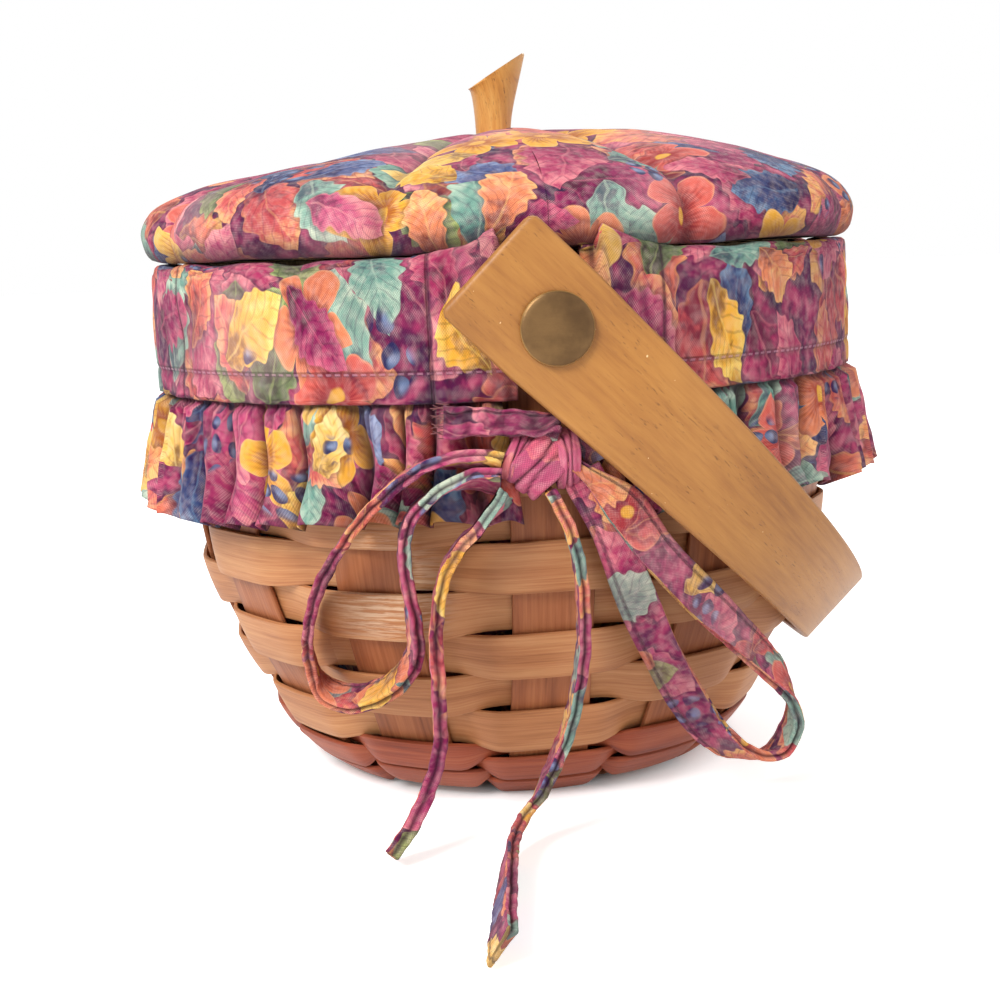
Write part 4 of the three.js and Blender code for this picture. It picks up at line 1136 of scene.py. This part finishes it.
# %% Handle
REST_TURN = math.radians(45.2)
HANDLE_THICKNESS = 3.5
SHORT_END = 19.8
CORNER = 2.2
LEG_END = 25
LEG_MIDDLE = 94.7 + HANDLE_THICKNESS / 2
LEG_SPREAD = 1.5
END_WIDTH, LEG_WIDTH, CROWN_WIDTH = 14, 13, 10  # half widths, in millimetres
BEND = 2 / 2.2
END_STEPS = (0, 0.25, 0.7, 1.4, CORNER)


def handle_place(along, side, across):
    """From the flat bail (along the leg, sideways, across the strip) to where it rests."""
    return Vector((along * math.cos(REST_TURN) + across * math.sin(REST_TURN), side,
                   PIVOT_HEIGHT - along * math.sin(REST_TURN) + across * math.cos(REST_TURN))) * MM


def crown_reach():
    """The crown's lowest corner in the frame gives how far the bail reaches from its pivots."""
    drop = PIVOT_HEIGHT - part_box("handle")[0].z / MM
    return (drop - CROWN_WIDTH * math.cos(REST_TURN)) / math.sin(REST_TURN) - HANDLE_THICKNESS / 2


def handle_line(reach):
    half = [flat_point(x, -LEG_MIDDLE) for x in (*(step - SHORT_END for step in END_STEPS), -14, -8, 0, 8)]
    for i in range(1, 9):
        half.append(flat_point(lerp(8, LEG_END, i / 8), -LEG_MIDDLE - LEG_SPREAD * blend_step(i, 0, 8)))
    for i in range(1, 41):
        turn = i / 40 * math.pi / 2
        side = -(LEG_MIDDLE + LEG_SPREAD) * math.cos(turn) ** BEND if i < 40 else 0.0
        half.append(flat_point(LEG_END + (reach - LEG_END) * math.sin(turn) ** BEND, side))
    return half + [flat_point(p.x, -p.y) for p in reversed(half[:-1])]


def rounded_outline(wide, thick, corner):
    """A rectangle with each corner rounded in four steps."""
    outline = []
    for sx, sy, start in ((1, -1, -90), (1, 1, 0), (-1, 1, 90), (-1, -1, 180)):
        for k in range(5):
            turn = math.radians(start + 90 * k / 4)
            outline.append((sx * (wide - corner) + corner * math.cos(turn),
                            sy * (thick - corner) + corner * math.sin(turn)))
    return outline


def handle_mesh():
    reach = crown_reach()
    line = handle_line(reach)
    marks = running_lengths(line)
    columns = len(line) - 1

    def half_width(along):
        inset = max(CORNER - (along + SHORT_END), 0)
        trim = CORNER - math.sqrt(max(CORNER ** 2 - inset ** 2, 0))
        if along < 0:
            return END_WIDTH - trim
        if along < LEG_END:
            return lerp(END_WIDTH, LEG_WIDTH, along / LEG_END)
        return lerp(LEG_WIDTH, CROWN_WIDTH, (along - LEG_END) / (reach - LEG_END))

    def place(u, a, b):
        i = round(u * columns)
        tangent = heading(line, i)
        wide = half_width(line[i].x)
        ease = 1 - 0.45 * max(0, 1 - (line[i].x + SHORT_END) / 0.7) ** 2
        across = math.copysign(wide - (1 - abs(a)) * 2.2, a) if abs(a) > 0.6 else a * wide
        spot = line[i] + flat_point(tangent.y, -tangent.x) * b * HANDLE_THICKNESS * ease
        return handle_place(spot.x, spot.y, across)

    def true_map(vert, old):
        column = limited(round(old[0] / (marks[-1] * MM) * columns), 0, columns)
        return marks[column] * MM, old[1] * LEG_WIDTH * MM

    mesh = roll_mesh(columns, rounded_outline(1, 0.5, 0.32), place, marks[-1] * MM)
    remap(mesh, true_map)
    return mesh


finish_piece("handle", handle_mesh(), HANDLE_WOOD, "handle_wood", body="handle", sharp=60)

# %% [markdown]
# ## Rivets, washers and spacers
#
# A brass rivet with a wide flat head goes through the handle, a wooden spacer and the rim, and is
# closed over a washer inside. They are turned shapes: a profile, spun round the pivot's axis.

# %% Rivets and their washers
RIVET_INNER = [(0, 0), (2.2, 0), (3.2, 0.7), (2.1, 0.8)]
RIVET_HEAD = [(2.1, 98.55), (7.3, 98.55), (7.75, 98.75), (7.8, 99.1), (7.65, 99.45), (7.2, 99.72),
              (6.0, 99.85), (3.5, 99.95), (0, 100.0)]
BORE = 2.3


def node_span(node):
    """How far a front piece reaches along -Y, in millimetres, from its frame node."""
    low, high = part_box(node)
    return -high.y / MM, -low.y / MM


def turned_profiles():
    """(piece, profile, steps, finish, slot) of the turned pieces at one pivot."""
    inner = node_span("front_rivet")[0]
    yield "rivet", [(r, inner + h) for r, h in RIVET_INNER] + RIVET_HEAD, 96, BRASS, "rivet_brass"
    low, high = node_span("front_burr")
    ring = [(BORE, low), (5.7, low), (6, low + 0.25), (6, high), (BORE, high), (BORE, low)]
    yield "burr", ring, 64, BRASS, "rivet_brass"
    low, high = node_span("front_spacer")
    ring = [(BORE, low), (5.6, low), (6.2, low + 0.6), (6.2, high - 0.6), (5.6, high), (BORE, high),
            (BORE, low)]
    yield "spacer", ring, 64, RIM_WOOD, "spacer_wood"


for side, flip in (("front", False), ("rear", True)):
    for piece, profile, steps, finish, slot in turned_profiles():
        mesh = turned_mesh(profile, steps, (0, 0, PIVOT_HEIGHT * MM), flip)
        finish_piece(f"{side}_{piece}", mesh, finish, slot, sharp=40)

# %% [markdown]
# ## The cuff
#
# The liner's top is folded out over the rim and hangs down outside as a cuff in two halves, open
# where the handle is held. It is a single layer with hems, so it is a sheet with a thickness. Beside
# the handle the cloth stands up in a small fold, which the sheet gets from a second profile that is
# blended in over a few degrees.

# %% Cuff halves
CUFF_PLAIN = [(88.3, 99.0), (88.55, 100.2), (88.6, 104), (88.6, 108), (88.6, 112), (88.6, 116),
              (88.6, 120), (88.6, 123.5), (88.5, 126.2), (88.3, 128.1), (87.9, 129.4), (87.0, 130.1),
              (85.6, 130.2), (83.6, 129.9)]
CUFF_FOLD = [(88.3, 99.0), (88.6, 100.2), (88.7, 104), (88.9, 108), (89.2, 112), (89.5, 116),
             (89.9, 120), (90.5, 124.6), (91.1, 129.2), (91.7, 133.4), (91.7, 135.4), (90.9, 135.5),
             (89.9, 132.6), (89.2, 129.6)]
CUFF_HEIGHT = running_lengths(CUFF_PLAIN)[-1]
CUFF_RADIUS = 88.5
CUFF_END = 4.7
SIDE_HEM = 14.3
HEM_STITCH = SIDE_HEM + 2.1
SIDE_SEAM = 65.0
TOPSTITCH = 6.4 * MM
TOPSTITCH_SHARE = 0.168
TOP_LIMIT = 130.26
PUCKERS = 47  # waves round the whole cuff where the ruffle is sewn on


def profile_at(profile, share):
    t = share * (len(profile) - 1)
    i = min(int(t), len(profile) - 2)
    (a, b), (c, d) = profile[i], profile[i + 1]
    return Vector((lerp(a, c, t - i), lerp(b, d, t - i)))


def cuff_angle(u):
    """The angle at a share of a half cuff, and the degrees from its nearer end's middle."""
    angle = lerp(CUFF_END, 180 - CUFF_END, u)
    return angle, min(angle, 180 - angle)


def cuff_mesh(sign):
    def waves(angle, v):
        return (noise_at((angle * 0.09, v * 2.2, sign * 3.1)), noise_at((angle * 0.25, v * 5, 7.0)))

    def place(u, v):
        angle, off = cuff_angle(u)
        angle *= sign
        fold = blend_step(off, 6.2, 7.2) * max(0.0, 1 - max(0.0, off - 7.2) / 13) ** 1.7
        fold = max(fold, 0.25 * (off < 7.3))
        spot = profile_at(CUFF_PLAIN, v).lerp(profile_at(CUFF_FOLD, v), fold)
        body = math.sin(math.pi * min(1.0, v * 1.15)) if v < 0.87 else 0.0
        broad, small = waves(angle, v)
        soft = broad * 0.85 + small * 0.4
        tilt = noise_at((angle * 0.2 + v * 3, v * 1.5, 2.0)) * 0.35
        pucker = 0.34 * sine(angle * PUCKERS) * max(0.0, 1 - v * 4.5)
        hem = 0.5 * blend_step(off, SIDE_HEM - 0.3, SIDE_HEM + 0.2)
        hem -= 0.5 * near(off, HEM_STITCH, 0.45) + 0.3 * near(off, SIDE_SEAM, 0.5)
        seam = -0.35 * near(v, TOPSTITCH_SHARE, 0.014)
        tuck = -1.6 * blend_step(6.8 - off, 0, 1.7) if v < 0.75 else 0.0
        spot.x += (soft + tilt) * body + pucker + hem * (v < 0.85) + seam + tuck
        if v > 0.6 and fold < 0.02:
            rise = noise_at((angle * 0.12, 4.0, sign * 2.0)) * 0.9 - 0.25
            spot.y += min(rise, 0.0) * blend_step(v, 0.6, 0.75)
            spot.y = min(spot.y, TOP_LIMIT)
        return around(angle, spot.x, spot.y)

    def lay(u, v):
        return math.radians(cuff_angle(u)[0]) * CUFF_RADIUS * MM, v * CUFF_HEIGHT * MM

    # Painted shade by the ear, along the hem stitches and side seam, in the pinches, at both edges, along
    # the topstitch row and in slack folds.
    def painted_shade(u, v):
        angle, off = cuff_angle(u)
        angle *= sign
        ear = (blend_step(off, 5.4, 5.9) - blend_step(off, 6.3, 6.8)) * blend_step(v, 0.45, 0.7)
        hem = 0.55 * near(off, HEM_STITCH, 0.35) + 0.4 * near(off, SIDE_SEAM, 0.4)
        pinch = 0.5 * max(0.0, -sine(angle * PUCKERS)) * max(0.0, 1 - v * 6)
        edge = 0.5 * near(v, 0, 0.02) + 0.8 * blend_step(v, 0.9, 0.99)
        row = 0.3 * near(v, TOPSTITCH_SHARE, 0.014)
        broad, small = waves(angle, v)
        slack = 0.25 * blend_step(-broad - 0.5 * small, 0.2, 0.9)
        return ear + hem * (v < 0.88) + pinch + edge + row + slack

    return sheet_mesh(540, 48, place, lay, painted_shade)


HEM_COLUMNS = tuple(math.radians(angle) * CUFF_RADIUS * MM
                    for angle in (HEM_STITCH, SIDE_SEAM, 180 - SIDE_SEAM, 180 - HEM_STITCH))
for name, sign, shift in (("right_cuff", 1, (0.4, 0.2, 0)), ("left_cuff", -1, (0.9, 0.5, 0))):
    finish = cotton(f"{name}_cotton", shift, (TOPSTITCH,), HEM_COLUMNS, PINK_THREAD, PLUM_THREAD)
    cuff = shell(finish_piece(name, cuff_mesh(sign), finish, "print_fabric"), 0.8 * MM)

# %% [markdown]
# ## The ruffle
#
# A strip of cloth more than half as long again as the cuff is gathered and sewn to the cuff's lower
# edge. Just under the seam it shows many small pleats; they merge into fewer, deeper folds towards
# the hem. So the sheet's radius gets a fine wave that fades and a broad wave that grows.

# %% Ruffle halves
RUFFLE_TOP = 98.9
RUFFLE_DROP = 25.4
RUFFLE_LENGTH = 0.42
FOLDS = 25


def sharp_wave(turns):
    """A wave with round crests and tight valleys, from -1 to 1."""
    return 2 * (math.cos(math.pi * turns) ** 2 + 0.012) ** 0.6 - 1


def ruffle_mesh(sign):
    def folds_at(u, drop):
        """(angle, turns of the broad folds, turns of the fine pleats) at the shares u and drop."""
        end = lerp(7.0, 4.5, drop)
        angle = lerp(end, 180 - end, u)
        wander = 0.18 * sine(angle * 5) + 0.45 * noise_at((angle * 0.06, 1.0, sign * 5.0))
        lean = 0.45 * noise_at((angle * 0.08, drop * 1.3, sign * 9.0)) * drop
        turns = (angle - 8) / 164 * FOLDS + wander + lean
        return angle, turns, turns * 2.1 + 0.6 * noise_at((angle * 0.3, 2.0, 4.0))

    def place(u, drop):
        angle, turns, pleats = folds_at(u, drop)
        side = sine(angle) ** 2
        tall = 0.9 + 0.35 * noise_at((round(turns + 0.5) * 0.77, 3.0, sign * 2.0))
        grow = (0.42 + 0.58 * drop ** 0.6) * min(1.0, drop * 10 + 0.2)
        broad = sharp_wave(turns) * lerp(3.3, 3.9, side ** 0.8) * tall * grow
        fine = 0.85 * sharp_wave(pleats) * (1 - drop) ** 1.8 * min(1.0, drop * 12 + 0.2)
        radius = 87.5 + (5.0 * side - 1.0 * (1 - side)) * drop + broad + fine
        radius += 0.35 * noise_at((angle * 0.3, drop * 4, 6.0))
        radius -= 0.8 * near(drop, 0.03, 0.03)
        radius = max(radius, lerp(86.2, 82.6, blend_step(drop, 0.15, 0.8)))
        inner = blend_step(angle, 4, 16) * blend_step(180 - angle, 4, 16)
        sway = 0.7 * math.sin(math.tau * turns + 0.6) * grow * inner
        longer = 2.2 * blend_step(angle, 14, 40) * (sign < 0) + 0.4
        hem = 0.7 * sine(angle * 7 + 30) - 1.3 * sharp_wave(turns)
        height = RUFFLE_TOP - drop * (RUFFLE_DROP + longer + hem)
        return around(sign * (angle + sway), radius, height)

    def lay(u, drop):
        return u * RUFFLE_LENGTH, drop * RUFFLE_DROP * MM

    # Painted shade in the valleys of the folds and pleats, and just under the seam.
    def painted_shade(u, drop):
        _, turns, pleats = folds_at(u, drop)
        deep = blend_step(-sharp_wave(turns), -0.35, 0.9) * (0.75 + 0.25 * drop ** 0.5)
        fine = 0.6 * blend_step(-sharp_wave(pleats), 0.0, 0.8) * (1 - drop) ** 2
        return deep + fine + 0.75 * near(drop, 0, 0.05)

    return sheet_mesh(1100, 36, place, lay, painted_shade)


for name, sign, shift in (("right_ruffle", 1, (0.2, 0.8, 0)), ("left_ruffle", -1, (0.63, 0.33, 0))):
    finish = cotton(f"{name}_cotton", shift)
    ruffle = shell(finish_piece(name, ruffle_mesh(sign), finish, "print_fabric"), 0.6 * MM, even=False)

# %% [markdown]
# ## The pouch inside
#
# The liner hangs inside the basket as a soft pouch and turns out over the rim. It is gathered a
# little where it narrows to the floor, so its wall has shallow upright folds.

# %% Liner pouch
POUCH = [(0.5, 9.9), (20, 9.7), (38, 9.9), (44.5, 10.8), (48, 15.0), (54.5, 24), (61.5, 38),
         (68.5, 56), (73.5, 76), (75.8, 100), (76.3, 120), (76.6, 126.2), (77.6, 128.4), (79.4, 129.1),
         (83, 129.15), (87, 129.0)]
POUCH_ROWS = 90


def pouch_mesh():
    line, length = by_length(smooth_route([flat_point(*p) for p in POUCH], steps=8), POUCH_ROWS)

    def place(u, v):
        spot = line[round(v * POUCH_ROWS)]
        angle = u * 360
        wall = blend_step(spot.y, 12, 30) * (1 - blend_step(spot.y, 112, 126))
        fold = math.sin(math.radians(angle * 18) + 1.3 * sine(angle * 3))
        slack = 0.9 * fold + 0.5 * sine(angle * 31 + spot.y * 3)
        floor = 0.35 * math.sin(spot.x * 0.4 + math.radians(angle * 5)) * blend_step(spot.x, 4, 20)
        lift = max(0.0, floor) * (1 - blend_step(spot.y, 10.6, 14))
        return around(angle, spot.x - wall * (1.3 + slack), spot.y + lift)

    # Painted shade over the pouch inside the basket, fading out towards where it turns over the rim.
    return sheet_mesh(300, POUCH_ROWS, place, lambda u, v: (u * 0.52, v * length * MM),
                      lambda u, v: 0.5 * blend_step(v, 0.9, 0.75))


POUCH_COTTON = cotton("pouch_cotton", (0.05, 0.71, 0))
pouch = shell(finish_piece("liner_bag", pouch_mesh(), POUCH_COTTON, "print_fabric"), 0.6 * MM)

# %% [markdown]
# ## The padded lid
#
# The lid is a board under a thick pad of wadding, covered with one round of the print. Eight seams
# from the stem to the edge pull the cover down into creases, so that it puffs up between them like
# a pumpkin. The pad is a closed roll: one outline from the stem over the crown, round the edge and
# back under, carried once round the middle, with the seams pressed in.

# %% Lid pad
LID_BOTTOM = 130.3
PAD_RADIUS = 90.4
PAD_HEIGHT = 30.0
FIRST_CREASE = 21.5
LOBES = 8
LOBE_ANGLE = 360 / LOBES
PAD_CROWN = [(0.055, 0.952), (0.09, 0.967), (0.13, 0.985), (0.33, 0.955), (0.55, 0.875), (0.72, 0.75),
             (0.865, 0.605), (0.963, 0.44), (1, 0.255), (0.994, 0.13), (0.984, 0.06)]
PAD_EDGE = [(87.6, 130.7), (86.2, 130.4), (84.4, 130.35)]
PAD_UNDER = [(82, 130.4), (82, 135.3), (40, 135.3), (3, 135.3)]


def crease(angle):
    """How far the nearest seam is, in degrees, and which lobe this is."""
    off = (angle - FIRST_CREASE) % LOBE_ANGLE
    return min(off, LOBE_ANGLE - off), int((angle - FIRST_CREASE) // LOBE_ANGLE) % LOBES


def pad_mesh():
    marks = [flat_point(PAD_RADIUS * share, LID_BOTTOM + PAD_HEIGHT * rise) for share, rise in PAD_CROWN]
    marks += [flat_point(*p) for p in PAD_EDGE]
    crown, length = by_length(smooth_route(marks, steps=14), 88)
    line = crown + [flat_point(*p) for p in PAD_UNDER]
    rows = len(line)
    columns = 360

    def place(i, j):
        angle = i / columns * 360
        spot = line[j % rows]
        if j % rows >= len(crown):
            return around(angle, spot.x, spot.y)
        off, lobe = crease(angle)
        share = min(1.0, spot.x / PAD_RADIUS)
        arc = math.radians(off) * spot.x
        seam = 0.75 * math.exp(-((arc / 5.2) ** 1.2)) + 0.25 * math.exp(-((arc / 1.6) ** 1.4))
        pull = 4.6 * seam * min(1.0, share * 1.5)
        puff = 1.1 * math.sin(math.pi * off / LOBE_ANGLE) * share * (1 + 0.3 * math.sin(lobe * 2.1))
        pucker = noise_at((j * 0.16, lobe * 2.0, off * 0.1)) * blend_step(share, 0.15, 0.4)
        pucker *= 0.3 * near(arc, 0, 11)
        dimple = 0.7 * noise_at((spot.x * 0.05 * sine(angle), j * 0.06, angle * 0.06))
        gather = noise_at((angle * 0.16, j * 0.05, 5.0)) + 0.5 * sine(angle * 31)
        tuck = 0.6 * gather * blend_step(share, 0.9, 0.99) * blend_step(spot.y, 146, 133)
        slump = 4.2 * max(0.0, math.cos(math.radians(angle + 88))) ** 1.3
        slump *= math.sin(math.pi * limited((share - 0.12) / 0.85))
        rise = puff + pucker + dimple * share - pull - slump
        edge = share ** 2
        height = max(LID_BOTTOM + 0.05, spot.y + rise * (1 - edge * 0.6))
        return around(angle, spot.x + rise * edge + tuck - 0.4, height)

    def lay(i, j):
        reach = length * min(j, len(crown) - 1) / (len(crown) - 1) * MM
        angle = math.radians(i / columns * 360)
        return math.sin(angle) * reach, math.cos(angle) * reach

    # Painted shade along each seam, under the pad's rim and over its underside.
    def painted_shade(i, j):
        if j >= len(crown):
            return 0.8
        spot = line[j]
        arc = math.radians(crease(i / columns * 360)[0]) * spot.x
        under = 0.8 * blend_step(spot.y, 136.5, 131.5) * (spot.x > 60)
        return 0.75 * math.exp(-((arc / 1.1) ** 1.6)) * blend_step(spot.x, 5, 20) + under

    mesh, steps = fresh_grid(columns, rows, lay)
    fill_grid(mesh, steps, place, painted_shade)
    outward(mesh)
    return mesh


PAD_COTTON = cotton("pad_cotton", (0.27, 0.44, 0))
pad = finish_piece("lid_pad", pad_mesh(), PAD_COTTON, "print_fabric", body="lid")

# %% [markdown]
# ## The stem
#
# The lid's knob is a turned peg shaped like a pumpkin's stem: it flares upwards, leans a little and
# is cut off on a slant. A ring of vertices is extruded upwards step by step, each time widened and
# shifted, and the top edge is bevelled.

# %% Stem
STEM_BOTTOM = 159.4
STEM_HEIGHT = 16.2
STEM_FOOT, STEM_HEAD = 4.5, 7.5
STEM_STEPS = 16


def stem_point(turn, t):
    flare = lerp(STEM_FOOT, STEM_HEAD, t ** 2)
    flare *= 1 + 0.03 * math.sin(3 * turn + 4 * t) + 0.02 * math.sin(5 * turn)
    x = flare * math.sin(turn) + 1.1 * t ** 2
    height = STEM_HEIGHT * t + 0.6 * flare * math.sin(turn) * t ** 3
    return Vector((x, -flare * math.cos(turn), STEM_BOTTOM + height)) * MM


def ring_turn(co):
    return math.atan2(co.x, -co.y)


def stem_mesh():
    mesh = bmesh.new()
    ring = bmesh.ops.create_circle(mesh, cap_ends=False, radius=1, segments=40)["verts"]
    mesh.loops.layers.uv.new("lay")
    turn_of = {v: ring_turn(v.co) for v in ring}
    for v in ring:
        v.co = stem_point(turn_of[v], 0)
    edges = list(mesh.edges)
    mesh.faces.new(sorted(ring, key=turn_of.get))
    for step in range(1, STEM_STEPS + 1):
        made = bmesh.ops.extrude_edge_only(mesh, edges=edges)["geom"]
        raised = [g for g in made if isinstance(g, bmesh.types.BMVert)]
        edges = [g for g in made if isinstance(g, bmesh.types.BMEdge)
                 and all(v in raised for v in g.verts)]
        for v in raised:
            below = next(w for w in (e.other_vert(v) for e in v.link_edges) if w not in raised)
            turn_of[v] = turn_of[below]
            v.co = stem_point(turn_of[v], step / STEM_STEPS)
    cap = mesh.faces.new(sorted(raised, key=turn_of.get))
    bmesh.ops.bevel(mesh, geom=list(cap.edges), offset=1.1 * MM, segments=4, affect="EDGES",
                    profile=0.5, material=-1)
    bmesh.ops.recalc_face_normals(mesh, faces=mesh.faces)
    remap(mesh, lambda vert, old: (vert.co.z, ring_turn(vert.co) * 6 * MM + abs(vert.co.y)))
    return mesh


finish_piece("stem", stem_mesh(), STEM_WOOD, "stem_wood", body="lid", sharp=40)

# %% [markdown]
# ## Pieces that keep the frame's shape
#
# The rim bands, tacks, lid board, ring, washer and screw are simple hard shapes that hardly show.
# They stay as the frame has them and only get a better finish. These meshes have no map of their
# own, so their wood reads the object's own coordinates.

# %% Finishes for the kept pieces


def plain_wood(name, pale, dark, scale):
    finish, tree = new_finish(name, Roughness=0.6)
    grain = noise(mapped(own_place(tree), scale), 1.0, 4.0, 0.65)
    return painted(finish, ramp(grain, ((0.35, *dark), (0.62, *pale))), grain, 0.1 * MM, 0.7)


BAND_WOOD = plain_wood("band_wood", (216, 172, 122), (170, 118, 76), (60, 60, 1500))
LID_WOOD = plain_wood("lid_board_wood", (222, 190, 142), (176, 136, 92), (40, 900, 200))
KEPT_NODES = {BAND_WOOD: ["outer_rim_band", "inner_rim_band"], LID_WOOD: ["lid_board", "locating_ring"],
              STEEL: ["stem_washer", "stem_screw", *(f"rim_tack_{i}" for i in (1, 2, 3, 4))]}
for finish, nodes in KEPT_NODES.items():
    for node in nodes:
        materials = frame["nodes"][node].data.materials
        materials.clear()
        materials.append(finish)

# %% [markdown]
# ## Floor and light
#
# The basket stands on a plain white floor under soft studio light: one lamp high on the left, a
# weaker one on the right, one behind, and a pale world. Camera, glossy and transmission rays see
# the world at full white, so that metal reflects the same white that shows behind the object.

# %% Floor
FLOOR_GLOW = 0.6
WORLD_DIM = 0.55


def seen_straight(tree):
    """1 for a camera, glossy or transmission ray, and 0 for the rays that carry the light."""
    path = make_node(tree, "ShaderNodeLightPath").outputs
    camera, glossy, through = (Wire(path[f"Is {kind} Ray"]) for kind in ("Camera", "Glossy", "Transmission"))
    return calc("MAXIMUM", camera, calc("MAXIMUM", glossy, through))


def make_floor():
    mesh = bmesh.new()
    bmesh.ops.create_circle(mesh, cap_ends=True, radius=6, segments=96)
    data = bpy.data.meshes.new("floor")
    mesh.to_mesh(data)
    mesh.free()
    floor = add_object("floor", data)
    floor.location.z = -0.3 * MM
    finish, tree = new_finish("floor_paint", Roughness=0.9, Base_Color=(0.86, 0.86, 0.86, 1),
                              Emission_Color=(1, 1, 1, 1))
    away = vector_calc("LENGTH", own_place(tree), out="Value")
    # The floor glows white for the camera, but the glow fades out from 62 to 42 mm from the middle, leaving
    # a painted shadow under the basket.
    glow = seen_straight(tree) * step_up(away, 42 * MM, 62 * MM) * FLOOR_GLOW
    feed(tree.nodes["Principled BSDF"].inputs["Emission Strength"], glow)
    data.materials.append(finish)


make_floor()

# %% Lamps and world
LAMP_TARGET = Vector((0, 0, 90 * MM))


def lamp(name, size, power, at):
    data = bpy.data.lights.new(name, "AREA")
    data.size = size
    data.energy = power
    way = LAMP_TARGET - Vector(at)
    turn = way.to_track_quat("-Z", "Y").to_matrix().to_4x4()
    add_object(name, data).matrix_world = Matrix.Translation(Vector(at)) @ turn


def make_world():
    world = bpy.data.worlds.new("studio")
    bpy.context.scene.world = world
    world.use_nodes = True
    sky = world.node_tree.nodes["Background"]
    feed(sky.inputs["Color"], (1, 1, 1, 1))
    feed(sky.inputs["Strength"], seen_straight(world.node_tree) * (1 - WORLD_DIM) + WORLD_DIM)


lamp("window_light", 0.45, 14.0, (-0.6, -0.7, 0.8))
lamp("fill_light", 0.9, 3.4, (0.8, -0.6, 0.35))
lamp("back_light", 0.7, 4.0, (0.3, 0.8, 0.7))
make_world()
bpy.context.scene.view_settings.view_transform = "Standard"
